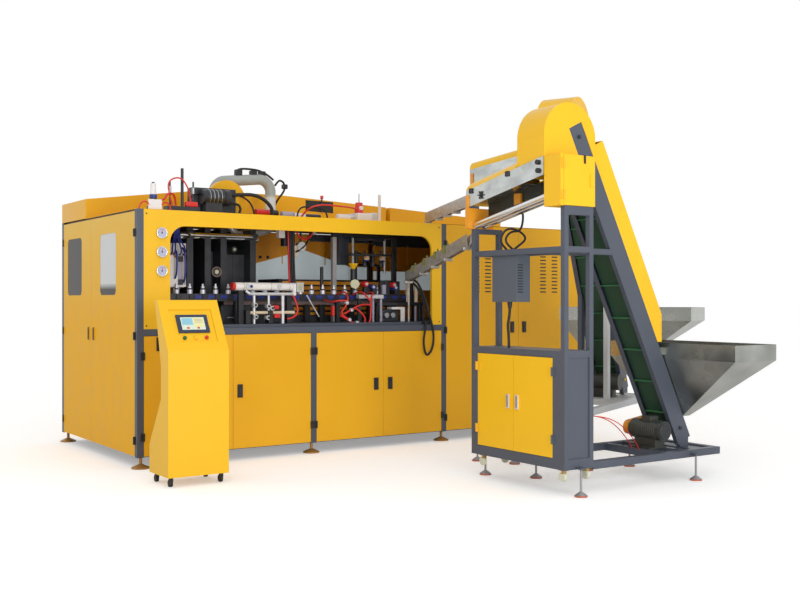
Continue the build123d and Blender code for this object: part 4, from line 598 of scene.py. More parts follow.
# %% Gauges and fascia screws
GAUGE_X = 0.222
FACE_Y = -0.0245
for z in (2.10, 1.93, 1.76):
    ring((GAUGE_X, FACE_Y, z), (0, 1, 0), 0.046, 0.005, chrome)
    knob(GAUGE_X, z, FACE_Y + 0.001, FACE_Y - 0.001, 0.042, dial_white, sides=32)
    knob(GAUGE_X, z, FACE_Y - 0.001, FACE_Y - 0.0035, 0.007, black)
    brick((GAUGE_X - 0.0025, FACE_Y - 0.003, z), (GAUGE_X + 0.0025, FACE_Y - 0.0015, z + 0.032), red)
    for step in range(9):
        angle = math.radians(-120 + 30 * step)
        x, up = GAUGE_X + 0.034 * math.sin(angle), z + 0.034 * math.cos(angle)
        brick((x - 0.002, FACE_Y - 0.002, up - 0.002), (x + 0.002, FACE_Y - 0.001, up + 0.002), black)
for x in (0.085, 3.31):
    for z in (1.27, 2.27):
        knob(x, z, 0, -0.004, 0.007, black, sides=12)
tell()

# %% [markdown]
# Louvres let the control cabinet and the feeder's control box breathe. At this size a punched lip can't be
# seen, only the shade in its mouth, so each is a narrow dark piece set into the sheet as painted shade.

# %% Louvres
LOUVRE_COLUMNS = ((3.815, "left"), (3.975, "left"), (4.78, "right"), (4.955, "right"))
for x, leaf in LOUVRE_COLUMNS:
    for step in range(11):
        z = 1.585 + 0.04 * step
        brick((x - 0.042, -0.0025, z), (x + 0.042, 0.0005, z + 0.013), black, f"cabinet_door_{leaf}")
BOX_FRONT = -2.508
for step in range(11):
    z = 1.56 + 0.022 * step
    brick((2.25, BOX_FRONT - 0.0015, z), (2.306, BOX_FRONT + 0.0005, z + 0.009), black)
tell()

# %% [markdown]
# The doors have small pull latches: black on the machine, bright on the feeder. Each is a flat pad on its
# leaf with a lever on it, and rides on that leaf.

# %% Door latches
LATCHES = {
    "lower_door_1": (0.205, 1.105),
    "lower_door_2": (0.995, 0.648),
    "lower_door_3": (2.513, 0.648),
    "lower_door_4": (2.684, 0.648),
    "cabinet_door_left": (4.319, 1.199),
    "cabinet_door_right": (4.495, 1.199),
}
for body, (x, z) in LATCHES.items():
    brick((x - 0.027, -0.0105, z - 0.062), (x + 0.027, -0.0005, z + 0.062), black, body, bevel=0.003)
    brick((x - 0.012, -0.016, z - 0.045), (x + 0.012, -0.0105, z + 0.02), dark_metal, body, bevel=0.002)
for body, y in (("end_door_front", 1.1885), ("end_door_rear", 1.3415)):
    brick((-0.0105, y - 0.02, 1.108), (-0.0005, y + 0.02, 1.232), black, body, bevel=0.003)
    brick((-0.014, y - 0.01, 1.12), (-0.0105, y + 0.01, 1.22), dark_metal, body)
for body, y in (("feeder_door_left", -2.448), ("feeder_door_right", -2.56)):
    brick((2.191, y - 0.02, 0.625), (2.1985, y + 0.02, 0.742), aluminium, body, bevel=0.003)
    brick((2.188, y - 0.009, 0.64), (2.191, y + 0.009, 0.73), steel, body)
brick((2.402, -3.113, 2.546), (2.42, -3.1055, 2.612), black, "hood_door", bevel=0.002)
tell()

# %% [markdown]
# The console's touch screen shows plain coloured fields. They lie on the sloped panel, so they are placed
# by a distance across, a distance up the slope and a height over the glass.

# %% Touch screen
PANEL_FOOT = Vector((0.1375, -1.04, 1.087))
UP = Vector((0, 0.24, 0.413)).normalized()
OUT = Vector((0, -0.413, 0.24)).normalized()
SCREEN_UP = 0.2532


def field_on_screen(left, right, low, high, rise, finish):
    """A rectangle on the screen, measured from the screen's middle."""
    corners = ((left, low), (right, low), (right, high), (left, high))
    spots = [PANEL_FOOT + Vector((x, 0, 0)) + UP * (SCREEN_UP + up) + OUT * rise for x, up in corners]
    sheet_piece(spots, 0.0006, finish)


field_on_screen(-0.102, 0.102, -0.058, 0.058, 0.0045, screen_pale)
field_on_screen(-0.094, 0.0, -0.012, 0.05, 0.0052, screen_blue)
field_on_screen(0.008, 0.094, 0.0, 0.05, 0.0052, screen_yellow)
field_on_screen(0.008, 0.094, -0.03, -0.006, 0.0052, screen_yellow)
for x in (-0.06, 0.03):
    field_on_screen(x, x + 0.022, -0.05, -0.034, 0.0052, red)
for step in range(3):
    field_on_screen(0.016, 0.086, 0.008 + 0.014 * step, 0.012 + 0.014 * step, 0.0059, lilac)
tell()

# %% [markdown]
# Behind the clamp a sheet wall closes the bay: orange with welded seams at the right and a pale peaked
# sheet in its middle. Its left part lies in shade, which is painted as a black sheet. Thin sheets on the
# CAD wall show these.

# %% Inner wall
WALL_Y = 1.4485


def wall_sheet(points, finish, proud=0.0):
    """A thin sheet on the inner wall, given by its corners across and up."""
    sheet_piece([(x, WALL_Y - proud, z) for x, z in points], 0.001, finish)


def wall_box(left, right, low, high, finish, proud=0.0):
    """A square sheet on the inner wall."""
    wall_sheet(((left, low), (right, low), (right, high), (left, high)), finish, proud)


# Painted shade: a black sheet over the shaded left part of the wall.
wall_box(0.07, 1.86, 1.28, 2.24, black)
wall_box(1.86, 3.338, 1.28, 2.24, inner_yellow)
wall_box(3.4, 4.55, 1.28, 2.3, inner_yellow)
wall_sheet(((1.86, 1.9), (2.49, 2.062), (3.07, 1.889), (3.07, 1.62), (1.86, 1.62)), window_light, 0.0015)
wall_box(3.075, 3.335, 1.62, 1.885, window_light, 0.0015)
wall_box(3.41, 4.3, 1.62, 1.84, window_light, 0.0015)
wall_box(2.55, 3.338, 2.165, 2.245, slate, 0.003)
wall_box(3.4, 4.5, 2.135, 2.3, slate, 0.003)
HOLES = ((1.245, 1.995, 0.05), (1.254, 1.846, 0.035), (1.413, 1.985, 0.03), (1.421, 1.86, 0.025))
for x, z, size in HOLES:
    knob(x, z, WALL_Y - 0.001, WALL_Y - 0.004, size, window_light, sides=24)
for x in (2.2, 2.75, 3.15, 3.43, 3.9):
    brick((x - 0.006, WALL_Y - 0.006, 1.9), (x + 0.006, WALL_Y - 0.001, 2.15), bright_yellow)
for x in (1.928, 2.02):
    knob(x, 1.974, WALL_Y - 0.001, WALL_Y - 0.006, 0.018, black, sides=12)
tell()

# %% [markdown]
# Preforms travel on a chain of mandrels. Between the CAD mandrels sit blue carrier links and black
# collars on the rail's front, repeated at the mandrels' pitch.

# %% Carriers on the rail
FIRST_MANDREL = 0.258
PITCH = 0.132
MANDRELS = [FIRST_MANDREL + PITCH * step for step in range(23)]
RAIL_FRONT = 0.3345
for x in MANDRELS:
    brick((x - 0.024, RAIL_FRONT - 0.012, 1.505), (x + 0.024, RAIL_FRONT, 1.556), black, bevel=0.003)
for x in MANDRELS[3:]:
    brick((x + 0.03, RAIL_FRONT - 0.008, 1.514), (x + 0.102, RAIL_FRONT, 1.546), blue, bevel=0.002)
print("mandrels", len(MANDRELS))

# %% [markdown]
# At the left a white panel carries the clamp's air valves, with blue lines coming down from the roof. The
# clamp has a top tie bar, a pivot with a copper ring and a plain centre cap.

# %% Valve panel and clamp caps
CEILING = 2.309
brick((0.462, 0.405, 1.625), (0.628, 0.4395, 2.038), white_paint, bevel=0.003)
brick((0.545, 0.402, 1.64), (0.592, 0.4049, 1.93), lilac)
brick((0.605, 0.402, 1.64), (0.622, 0.4049, 2.02), lilac)
for z in (1.888, 1.67):
    brick((0.548, 0.38, z - 0.025), (0.59, 0.4019, z + 0.025), black, bevel=0.004)
for x, z in ((0.5, 1.935), (0.612, 1.935), (0.52, 1.91)):
    knob(x, z, 0.39, 0.4049, 0.012, orange, sides=12)
for step, end in enumerate((0.47, 0.5, 0.56, 0.6)):
    start = 0.43 + 0.015 * step
    route = (
        (start, 0.2, CEILING), (start + 0.002, 0.205, 2.18), (start + 0.01, 0.24, 2.08),
        (end - 0.01, 0.33, 1.99), (end, 0.36, 1.93), (end, 0.42, 1.925),
    )
    hose(f"valve_line_{step}", route, 0.0075, blue)
rod((0.61, 0.52, 2.131), (1.375, 0.52, 2.131), 0.022, chrome)
for x in (0.7, 1.37):
    brick((x, 0.5, 2.1), (x + 0.06, 0.5495, 2.162), dark_metal, bevel=0.004)
for x, z, wide in ((1.0, 1.775, 0.052), (1.19, 2.0, 0.03)):
    knob(x, z, 0.5495, 0.535, wide, dark_metal, body="moving_platen")
    knob(x, z, 0.535, 0.528, wide * 0.4, pale_green, body="moving_platen")
ring((1.0, 0.535, 1.775), (0, 1, 0), 0.046, 0.008, copper, body="moving_platen")
tell()

# %% [markdown]
# The transfer cylinder lies in front of the rail. It gets a red end cap, fittings and a pair of rails
# under it, tied by short posts.

# %% Transfer rails and fittings
BED = 1.271
RAILS_Y = 0.105
rod((1.146, RAILS_Y, 1.558), (1.64, RAILS_Y, 1.558), 0.015, aluminium)
rod((1.146, RAILS_Y, 1.558), (1.11, RAILS_Y + 0.01, 1.588), 0.015, aluminium)
rod((1.135, RAILS_Y, 1.379), (1.627, RAILS_Y, 1.379), 0.015, beige)
brick((1.612, 0.09, 1.545), (1.642, 0.13, 1.66), white_paint)
for x, wide in ((1.193, 0.014), (1.348, 0.012), (1.5, 0.017)):
    post(x, RAILS_Y, 1.27, 1.545, wide, aluminium)
for x in (1.12, 1.46):
    knob(x, 1.63, 0.1, 0.085, 0.02, aluminium)
for x in (1.09, 1.38, 1.58):
    ring((x, 0.14, 1.63), (1, 0, 0), 0.037, 0.003, steel)
rod((0.975, 0.14, 1.63), (1.0045, 0.14, 1.63), 0.036, red)
knob(1.16, 1.63, 0.098, 0.088, 0.014, blue)
for x, z in ((1.193, 1.45), (1.335, 1.44), (1.375, 1.42), (1.2, 1.34), (1.33, 1.33)):
    knob(x, z, 0.07, 0.12, 0.023, aluminium, sides=14)
    knob(x, z, 0.062, 0.07, 0.012, black, sides=12)
for x, z in ((1.41, 1.43), (1.425, 1.345)):
    brick((x - 0.03, 0.07, z - 0.018), (x + 0.035, 0.12, z + 0.018), red, bevel=0.006)
for x in (1.12, 1.36):
    brick((x - 0.025, 0.07, BED), (x + 0.02, 0.16, 1.4), black, bevel=0.005)
brick((1.66, 0.1, 1.585), (1.725, 0.18, 1.672), pale_green, body="transfer_gripper", bevel=0.008)
tell()

# %% [markdown]
# Red air lines loop between the fittings in the middle of the window. Each follows its own bow, with a
# metal elbow where lines meet.

# %% Red air lines
RED_LINES = (
    ((1.616, 0.1, 1.545), (1.63, 0.09, 1.5), (1.665, 0.085, 1.4), (1.62, 0.085, 1.325))
    + ((1.545, 0.1, 1.315),),
    ((2.252, 0.33, 1.555), (2.252, 0.22, 1.6), (2.25, 0.1, 1.54), (2.21, 0.09, 1.43))
    + ((2.13, 0.09, 1.36), (2.25, 0.09, 1.3)),
    ((2.146, 0.09, 1.345), (2.264, 0.09, 1.287), (2.4, 0.09, 1.2), (2.5, 0.09, 1.25), (2.51, 0.09, 1.42))
    + ((2.51, 0.1, 1.51), (2.595, 0.16, 1.6), (2.595, 0.33, 1.555)),
    ((2.443, 0.33, 1.555), (2.443, 0.2, 1.6), (2.46, 0.11, 1.55), (2.504, 0.09, 1.49)),
    ((2.19, 0.09, 1.36), (2.3, 0.08, 1.42), (2.4, 0.08, 1.46), (2.495, 0.09, 1.45)),
    ((2.311, 0.09, 1.425), (2.38, 0.08, 1.38), (2.45, 0.08, 1.3), (2.42, 0.09, 1.25)),
    ((2.099, 0.33, 1.5), (2.099, 0.2, 1.47), (2.14, 0.12, 1.5), (2.235, 0.097, 1.49)),
)
for step, route in enumerate(RED_LINES):
    hose(f"air_line_{step}", route, 0.009, red)
for x, z in ((2.22, 1.47), (2.275, 1.4), (2.25, 1.3), (2.34, 1.27)):
    knob(x, z, 0.075, 0.115, 0.018, aluminium, sides=14)
brick((2.06, 0.1, 1.34), (2.085, 0.14, 1.44), red)
tell()

# %% [markdown]
# The middle of the bay holds a bundle of black lines, a silver foil duct under the roof, a valve with a
# round regulator and thin posts. The duct is a thicker hose.

# %% Middle of the bay
BUNDLE = ((0.0, black), (0.02, black), (0.04, black), (-0.02, red))
for step, (shift, finish) in enumerate(BUNDLE):
    x = 1.79 + shift
    route = (
        (x, 0.5, CEILING), (x, 0.5, 2.15), (x + 0.006, 0.5, 1.95),
        (x - 0.004, 0.47, 1.75), (x - 0.02, 0.42, 1.562),
    )
    hose(f"bundle_line_{step}", route, 0.01, finish)
DUCT_ROUTE = (
    (1.19, 0.7, CEILING), (1.25, 0.7, 2.15), (1.45, 0.78, 2.19), (1.7, 0.86, 2.2), (1.9, 0.9, CEILING),
)
hose("foil_duct", DUCT_ROUTE, 0.034, aluminium)
for low, high, finish in (
    ((1.665, 0.5, 2.13), (1.735, 0.56, CEILING), white_paint),
    ((1.735, 0.52, 2.05), (1.86, 0.6, CEILING), dark_metal),
    ((1.85, 0.51, 1.94), (1.885, 0.54, 2.06), beige),
    ((2.07, 0.55, 2.18), (2.13, 0.6, CEILING), aluminium),
    ((2.6, 0.87, 1.886), (2.72, 0.95, CEILING), slate),
    ((2.33, 0.578, 2.2145), (3.155, 0.622, CEILING), slate),
):
    brick(low, high, finish, bevel=0.004)
knob(1.93, 2.05, 0.5, 0.56, 0.05, aluminium)
post(1.93, 0.53, 2.09, CEILING, 0.012, dark_metal)
LOOP = (
    (1.84, 0.5, CEILING), (1.85, 0.48, 2.17), (1.95, 0.48, 2.11), (2.06, 0.5, 2.17), (2.08, 0.5, CEILING),
)
hose("regulator_line", LOOP, 0.01, red)
SENSOR_LINE = ((2.06, 0.54, CEILING), (2.05, 0.52, 2.17), (1.95, 0.5, 2.03), (1.86, 0.515, 1.99))
hose("sensor_line", SENSOR_LINE, 0.011, black)
rod((1.873, 0.3, 1.55), (2.017, 0.3, 1.33), 0.008, aluminium)
post(2.117, 0.42, 1.56, 1.842, 0.018, black)
tell()

# %% [markdown]
# The loading station at the right drops preforms on to the mandrels. Under its beam hang plates, rods
# with dark caps and two holders; those that move with the head ride on it.

# %% Loading head
for left, right, z, finish in ((2.464, 3.149, 2.187, black), (2.62, 2.992, 2.155, dark_metal)):
    brick((left, 0.56, z - 0.013), (right, 0.64, z + 0.013), finish)
for step in range(4):
    x = 2.65 + 0.105 * step
    post(x, 0.6, 1.905, 1.9745, 0.021, black, body="loader_head")
    post(x, 0.6, 1.864, 1.905, 0.024, dark_metal, body="loader_head")
for x in (2.755, 2.955):
    brick((x - 0.03, 0.55, 1.93), (x + 0.03, 0.575, 1.973), beige, body="loader_head", bevel=0.004)
    brick((x - 0.025, 0.548, 1.915), (x + 0.025, 0.575, 1.93), blue, body="loader_head")
    brick((x - 0.03, 0.548, 1.95), (x - 0.01, 0.5499, 1.97), orange, body="loader_head")
tell()

# %% [markdown]
# A yellow funnel stands over a dark cylinder, and red and blue knobs mark the fittings along the rail.
# Behind them a black rack stands against the pale sheet.

# %% Fittings at the rail
ON_RAIL = 1.561
post(2.5, 0.42, 1.825, 1.885, 0.02, bright_yellow, tip=0.055)
post(2.5, 0.42, ON_RAIL, 1.825, 0.032, dark_metal)
rod((2.453, 0.31, 1.667), (2.5, 0.4, 1.667), 0.05, pale_green, sides=8)
for z in (1.9, 1.722):
    brick((3.0, 1.19, z - 0.012), (3.335, 1.22, z + 0.012), black)
for x in (3.01, 3.19, 3.325):
    brick((x - 0.018, 1.19, 1.722), (x + 0.018, 1.22, 1.9), black)
for x, z, finish in ((2.57, 1.667, red), (2.657, 1.637, blue), (2.922, 1.66, red), (2.94, 1.632, blue)):
    knob(x, z, 0.27, 0.36, 0.028, finish, sides=16)
    knob(x, z, 0.262, 0.27, 0.015, aluminium, sides=16)
for x, high in ((2.6, 1.66), (2.7, 1.66), (2.8, 1.7), (2.86, 1.71), (2.99, 1.7)):
    brick((x - 0.028, 0.31, ON_RAIL), (x + 0.028, 0.36, high), dark_metal, bevel=0.006)
brick((2.78, 0.285, ON_RAIL), (2.825, 0.309, 1.66), lilac, bevel=0.004)
tell()

# %% [markdown]
# The station's front rests on small plates and thin posts that stand on the bed, with a dark motor and
# its two bright shaft ends between them.

# %% Posts under the station
for x in (3.116, 3.221):
    post(x, 0.3, 1.476, 1.73, 0.022, beige)
brick((3.16, 0.3, 1.476), (3.19, 0.33, 1.88), black)
brick((2.42, 0.17, 1.515), (2.72, 0.23, 1.555), aluminium)
brick((2.42, 0.19, BED), (2.46, 0.22, 1.515), dark_metal)
brick((2.7, 0.27, 1.44), (3.29, 0.33, 1.4755), dark_metal)
for x in (2.72, 3.27):
    brick((x - 0.02, 0.28, BED), (x + 0.02, 0.32, 1.44), dark_metal)
for x, y, high in ((2.605, 0.2, 1.515), (2.69, 0.18, 1.515), (3.212, 0.3, 1.44)):
    post(x, y, BED, high, 0.013, lilac)
brick((2.842, 0.2, 1.4), (3.008, 0.3, 1.426), white_paint)
brick((2.96, 0.2, BED), (3.008, 0.22, 1.4), white_paint)
brick((2.74, 0.23, BED), (2.95, 0.27, 1.4), dark_metal, bevel=0.01)
for x in (2.78, 2.86):
    knob(x, 1.34, 0.2, 0.23, 0.028, steel)
tell()

# %% [markdown]
# Under the rail one looks at the front of the heating bank: orange sheet between dark posts, a copper
# busbar along it and a dark drawer at the left.

# %% Under the rail
OVEN_FRONT = 0.8795
brick((1.845, OVEN_FRONT - 0.002, 1.34), (3.205, OVEN_FRONT - 0.0005, 1.7), inner_yellow)
brick((1.03, 0.4255, 1.452), (3.24, 0.45, 1.4895), copper)
brick((1.0, 0.43, BED), (1.8, 0.47, 1.4515), dark_metal)
rod((1.06, 0.42, 1.327), (1.24, 0.42, 1.327), 0.012, steel)
for x in (1.9, 2.11, 2.29, 2.45, 2.66, 2.9):
    brick((x - 0.03, 0.7, BED), (x + 0.03, 0.755, 1.49), dark_metal)
tell()

# %% [markdown]
# The roof's units show against the sky, so their outlines matter most. The servo drive gets its cooling
# ribs, screws and cables.

# %% Servo drive
ROOF = 2.3132
MOTOR = (0.49, 2.5)
for step in range(9):
    ring((0.87 + 0.02 * step, *MOTOR), (1, 0, 0), 0.0725, 0.0045, steel if step % 2 else motor_grey)
for turn in range(8):
    angle = math.radians(45 * turn)
    y, z = MOTOR[0] + 0.062 * math.cos(angle), MOTOR[1] + 0.062 * math.sin(angle)
    rod((1.1052, y, z), (1.112, y, z), 0.007, steel, sides=10)
rod((1.1052, *MOTOR), (1.116, *MOTOR), 0.018, red, sides=16)
brick((1.2202, 0.58, 2.44), (1.265, 0.66, 2.52), bright_yellow, bevel=0.01)
SERVO_CABLES = (
    ((1.115, 0.52, 2.53), (1.2, 0.51, 2.54), (1.4, 0.46, 2.55), (1.55, 0.45, 2.45), (1.57, 0.45, 2.36))
    + ((1.57, 0.45, ROOF),),
    ((1.115, 0.48, 2.45), (1.19, 0.46, 2.45), (1.22, 0.45, 2.4), (1.2, 0.45, 2.35), (1.2, 0.45, ROOF)),
    ((0.83, 0.565, 2.53), (0.8, 0.52, 2.53), (0.7, 0.46, 2.5), (0.64, 0.42, 2.4), (0.64, 0.42, ROOF)),
)
for step, (route, wide) in enumerate(zip(SERVO_CABLES, (0.018, 0.012, 0.011))):
    hose(f"servo_cable_{step}", route, wide, rubber)
tell()

# %% [markdown]
# The air filter has a white bowl, a blue collar and a white housing, with short red lines bowing to the
# roof at both sides. A red line and valve belong to the three rods beside it.

# %% Air filter and the rods beside it
post(0.186, 0.1, 2.4505, 2.552, 0.028, white_paint, tip=0.024)
post(0.186, 0.1, 2.42, 2.4504, 0.0345, blue)
brick((0.12, 0.045, 2.3135), (0.25, 0.0595, 2.405), white_paint, bevel=0.006)
for side in (-1, 1):
    route = (
        (0.186 + 0.05 * side, 0.052, 2.345), (0.186 + 0.07 * side, 0.05, 2.375),
        (0.186 + 0.11 * side, 0.05, 2.385), (0.186 + 0.145 * side, 0.055, 2.35),
        (0.186 + 0.148 * side, 0.06, ROOF),
    )
    hose(f"filter_line_{side + 1}", route, 0.007, red)
ROD_LINE = (
    (0.43, 0.25, 2.3735), (0.4, 0.24, 2.46), (0.37, 0.23, 2.6), (0.5, 0.23, 2.65), (0.58, 0.24, 2.55),
    (0.61, 0.26, 2.46), (0.61, 0.265, 2.39),
)
hose("rod_line", ROD_LINE, 0.007, red)
brick((0.56, 0.24, 2.3735), (0.68, 0.29, 2.42), red, bevel=0.01)
for x in (0.425, 0.655):
    post(x, 0.3, 2.5, 2.56, 0.013, steel)
tell()

# %% [markdown]
# Black clips joined by a cable hold the exhaust duct, and its lower pipe starts at a collar. A black
# float switch stands beside it on a bent line.

# %% Duct clips
for x in (1.45, 1.62, 1.72):
    brick((x - 0.035, 0.97, 2.785), (x + 0.04, 1.03, 2.858), black, bevel=0.01)
DUCT_CABLE = (
    (1.42, 1.0, 2.81), (1.43, 1.0, 2.86), (1.55, 1.0, 2.875), (1.75, 1.0, 2.86), (1.86, 1.0, 2.775),
)
hose("duct_cable", DUCT_CABLE, 0.011, rubber)
ring((1.825, 1.0, 2.6), (0, 0, 1), 0.058, 0.008, duct_grey)
brick((2.02, 1.08, 2.7), (2.08, 1.13, 2.75), black, bevel=0.01)
SWITCH_LINE = (
    (1.882, 1.0, 2.72), (1.93, 1.03, 2.77), (1.98, 1.06, 2.785), (2.045, 1.1, 2.76), (2.055, 1.11, 2.68),
    (1.99, 1.17, 2.58), (1.97, 1.24, 2.45), (1.97, 1.25, ROOF),
)
hose("switch_line", SWITCH_LINE, 0.011, rubber)
tell()

# %% [markdown]
# Small air cylinders and couplings lie in a row behind the fascia, each on a dark foot. A bare dark plate
# is fixed to the rear housing, and a red signal lamp with its antenna stands on a white box.

# %% Cylinders, plate and lamp
for left, right, y, z, wide, finish in (
    (1.45, 1.6, 0.6, 2.385, 0.035, red), (1.6, 1.7, 0.6, 2.385, 0.033, black),
    (1.72, 1.86, 0.55, 2.37, 0.034, lilac), (1.86, 1.99, 0.55, 2.365, 0.03, white_paint),
    (2.0, 2.2, 0.6, 2.37, 0.026, dark_metal), (2.35, 2.5, 0.5, 2.37, 0.034, white_paint),
    (2.5, 2.56, 0.5, 2.375, 0.038, aluminium),
):
    rod((left, y, z), (right, y, z), wide, finish)
    brick((left + 0.02, y - 0.02, ROOF), (right - 0.02, y + 0.02, z - wide + 0.004), dark_metal)
brick((2.56, 0.42, ROOF), (2.74, 0.56, 2.42), white_paint, bevel=0.01)
brick((2.74, 0.44, ROOF), (2.82, 0.54, 2.43), aluminium, bevel=0.01)
post(2.62, 0.5, 2.42, 2.535, 0.05, red, tip=0.038)
knob(2.62, 2.475, 0.445, 0.47, 0.022, white_paint)
post(2.62, 0.5, 2.535, 2.63, 0.006, steel)
post(3.075, 0.8, ROOF, 2.668, 0.016, white_paint)
LAMP_LINE = (
    (1.93, 0.53, 2.337), (1.94, 0.45, 2.42), (2.05, 0.35, 2.48), (2.3, 0.35, 2.47), (2.5, 0.42, 2.47),
    (2.6, 0.48, 2.45), (2.6, 0.49, 2.336),
)
hose("lamp_line", LAMP_LINE, 0.009, red)
PLATE = [(x, 1.4485, z) for x, z in ((2.5, 2.51), (2.86, 2.5), (2.86, 2.625), (2.5, 2.632))]
sheet_piece(PLATE, 0.003, black)
post(2.7, 1.43, 2.5, 2.66, 0.007, dark_metal)
post(2.7, 1.43, 2.65, 2.69, 0.018, red)
tell()

# %% [markdown]
# The CAD hoses are plain tubes. Smooth lines with the same points stand for them, in the colour of their
# service: blue for the valve air, red for the filter air and black for the rest.

# %% Hoses of the frame
CAD_HOSES = {
    "filter_hose": (
        red, (0.22, 0.1, 2.4), (0.29, 0.1, 2.4), (0.34, 0.14, 2.483), (0.48, 0.3, 2.483),
        (0.48, 0.3, 2.373),
    ),
    "servo_hose": (
        rubber, (1.22, 0.64, 2.553), (1.33, 0.64, 2.553), (1.42, 0.56, 2.433), (1.42, 0.56, 2.313),
    ),
    "roof_hose": (
        rubber, (1.83, 0.42, 2.313), (1.83, 0.42, 2.44), (2.01, 0.44, 2.46), (2.2, 0.44, 2.44),
        (2.2, 0.44, 2.313),
    ),
    "valve_hose_1": (
        blue, (0.52, 0.44, 1.98), (0.52, 0.37, 1.98), (0.515, 0.35, 1.84), (0.515, 0.37, 1.7),
        (0.515, 0.44, 1.7),
    ),
    "valve_hose_2": (
        blue, (0.59, 0.44, 2.0), (0.59, 0.36, 2.0), (0.6, 0.34, 1.83), (0.595, 0.36, 1.66),
        (0.595, 0.44, 1.66),
    ),
    "clamp_hose": (
        rubber, (0.55, 0.485, 2.04), (0.55, 0.485, 2.12), (0.65, 0.5, 2.16), (0.729, 0.5, 2.11),
        (0.729, 0.55, 2.11),
    ),
    "bed_hose": (
        rubber, (1.64, 1.3, 1.2703), (1.64, 1.3, 1.48), (1.655, 1.29, 1.7), (1.64, 1.3, 1.9),
        (1.64, 1.32, 2.08), (1.64, 1.45, 2.08),
    ),
    "oven_hose": (
        rubber, (3.0, 0.9, 1.72), (3.0, 0.9, 1.9), (3.06, 1.1, 2.0), (3.1, 1.3, 2.05),
        (3.1, 1.45, 2.05),
    ),
}
HOSE_RADIUS = 0.009
for name, (finish, *route) in CAD_HOSES.items():
    hose(name, route, HOSE_RADIUS, finish, stands_for="hoses")
tell()

# %% [markdown]
# Two heavy cables leave the loading station. One bows wide, down in front of the doors and back under the
# bed; the other goes straight to the bed behind it.

# %% Cables at the right of the window
HANGING = (
    ((3.067, 0.2, 1.74), (3.08, 0.1, 1.72), (3.1, -0.02, 1.55), (3.16, -0.03, 1.35), (3.22, -0.035, 1.15))
    + ((3.2, -0.035, 0.98), (3.12, -0.03, 0.9), (3.08, -0.03, 1.05), (3.11, -0.03, 1.2), (3.14, 0.0, 1.26))
    + ((3.14, 0.07, 1.26),),
    ((3.07, 0.205, 1.7), (3.1, 0.1, 1.66), (3.16, 0.05, 1.45), (3.15, 0.06, 1.3), (3.15, 0.08, 1.272)),
)
for step, route in enumerate(HANGING):
    hose(f"station_cable_{step}", route, 0.012, rubber)
tell()

# %% [markdown]
# The preform chute is clamped by yellow-green blocks over its top edges. The clamps stand square to the
# chute, so each is turned to the chute's bearing.

# %% Chute clamps
CHUTE = (Vector((2.24, -1.89, 2.01)), Vector((3.045, 0.215, 1.74)))
BEARING = math.atan2(2.105, 0.805)
for share in (0.3, 0.45, 0.63, 0.84):
    spot = CHUTE[0].lerp(CHUTE[1], share)
    low, high = spot + Vector((-0.018, -0.04, 0.053)), spot + Vector((0.018, 0.04, 0.072))
    brick(low, high, clamp_green, bevel=0.004, turn=BEARING)
    rod(spot + Vector((0, 0, 0.07)), spot + Vector((0, 0, 0.098)), 0.009, clamp_green, sides=12)
    side = Vector((-math.sin(BEARING), math.cos(BEARING), 0)) * 0.035
    low, high = spot + side + Vector((-0.012, -0.012, 0.0)), spot + side + Vector((0.012, 0.012, 0.058))
    brick(low, high, clamp_green, turn=BEARING)
tell()

# %% [markdown]
# The unscrambler's side sheet carries black latches, two round knobs near the box and a star knob. A dark
# liner hangs behind the rollers and follows the sheet's slope.

# %% Unscrambler fittings
SIDE_X = 2.154
TILT = math.tan(math.radians(11.1))


def slope_level(y):
    """The level of the side sheet's top edge at a place along the feeder."""
    return 2.609 - (y + 3.1 - 0.1803) * TILT


for y, z in ((-2.496, 2.512), (-2.026, 2.415)):
    low, high = (SIDE_X - 0.012, y - 0.022, z - 0.022), (SIDE_X - 0.0005, y + 0.022, z + 0.022)
    brick(low, high, black, bevel=0.004)
for y, z in ((-2.86, 2.565), (-2.865, 2.5)):
    rod((SIDE_X - 0.018, y, z), (SIDE_X - 0.0005, y, z), 0.02, black)
STAR_X = SIDE_X - 0.008
for turn in range(3):
    angle = math.radians(60 * turn)
    across, up = 0.035 * math.cos(angle), 0.035 * math.sin(angle)
    start, end = (STAR_X, -2.16 - across, 2.37 - up), (STAR_X, -2.16 + across, 2.37 + up)
    rod(start, end, 0.006, black, sides=10)
LINER_X = 2.347
CORNERS = ((-2.9, 0.122), (-2.02, 0.122), (-2.02, 0.29), (-2.9, 0.29))
LINER = [(LINER_X, y, slope_level(y) - drop) for y, drop in CORNERS]
sheet_piece(LINER, 0.003, liner)
brick((LINER_X - 0.03, -2.46, 2.27), (LINER_X - 0.002, -2.38, 2.37), end_orange)
tell()

# %% [markdown]
# Sensor cables loop over the control box and one goes up to the unscrambler; the box's supply leaves
# through a gland at its foot and drops to the cabinet.

# %% Feeder cables
BOX_LINES = (
    ((2.3, -2.35, 1.8645), (2.26, -2.38, 1.9), (2.15, -2.4, 1.97), (2.2, -2.41, 2.08), (2.34, -2.4, 2.08))
    + ((2.46, -2.39, 2.01), (2.37, -2.37, 1.94), (2.34, -2.32, 1.9), (2.34, -2.3, 1.8645)),
    ((2.32, -2.45, 1.8645), (2.27, -2.44, 1.9), (2.18, -2.42, 1.98), (2.25, -2.42, 2.06))
    + ((2.37, -2.41, 2.06), (2.41, -2.4, 2.2), (2.37, -2.39, 2.3), (2.36, -2.38, 2.38)),
)
for step, route in enumerate(BOX_LINES):
    hose(f"box_line_{step}", route, 0.009, rubber)
post(2.26, -2.4, 1.484, 1.43, 0.022, black, tip=0.014)
SUPPLY = [
    (x, -2.4, z) for x, z in ((2.26, 1.48), (2.26, 1.38), (2.235, 1.3), (2.25, 1.2), (2.25, 1.1105))
]
hose("box_supply", SUPPLY, 0.011, rubber)
tell()

# %% [markdown]
# Ribs mark the drive motor's housing and rings its fan cover, and a terminal box sits on top. Two thin
# red leads run low over the floor to the feeder's cabinet.

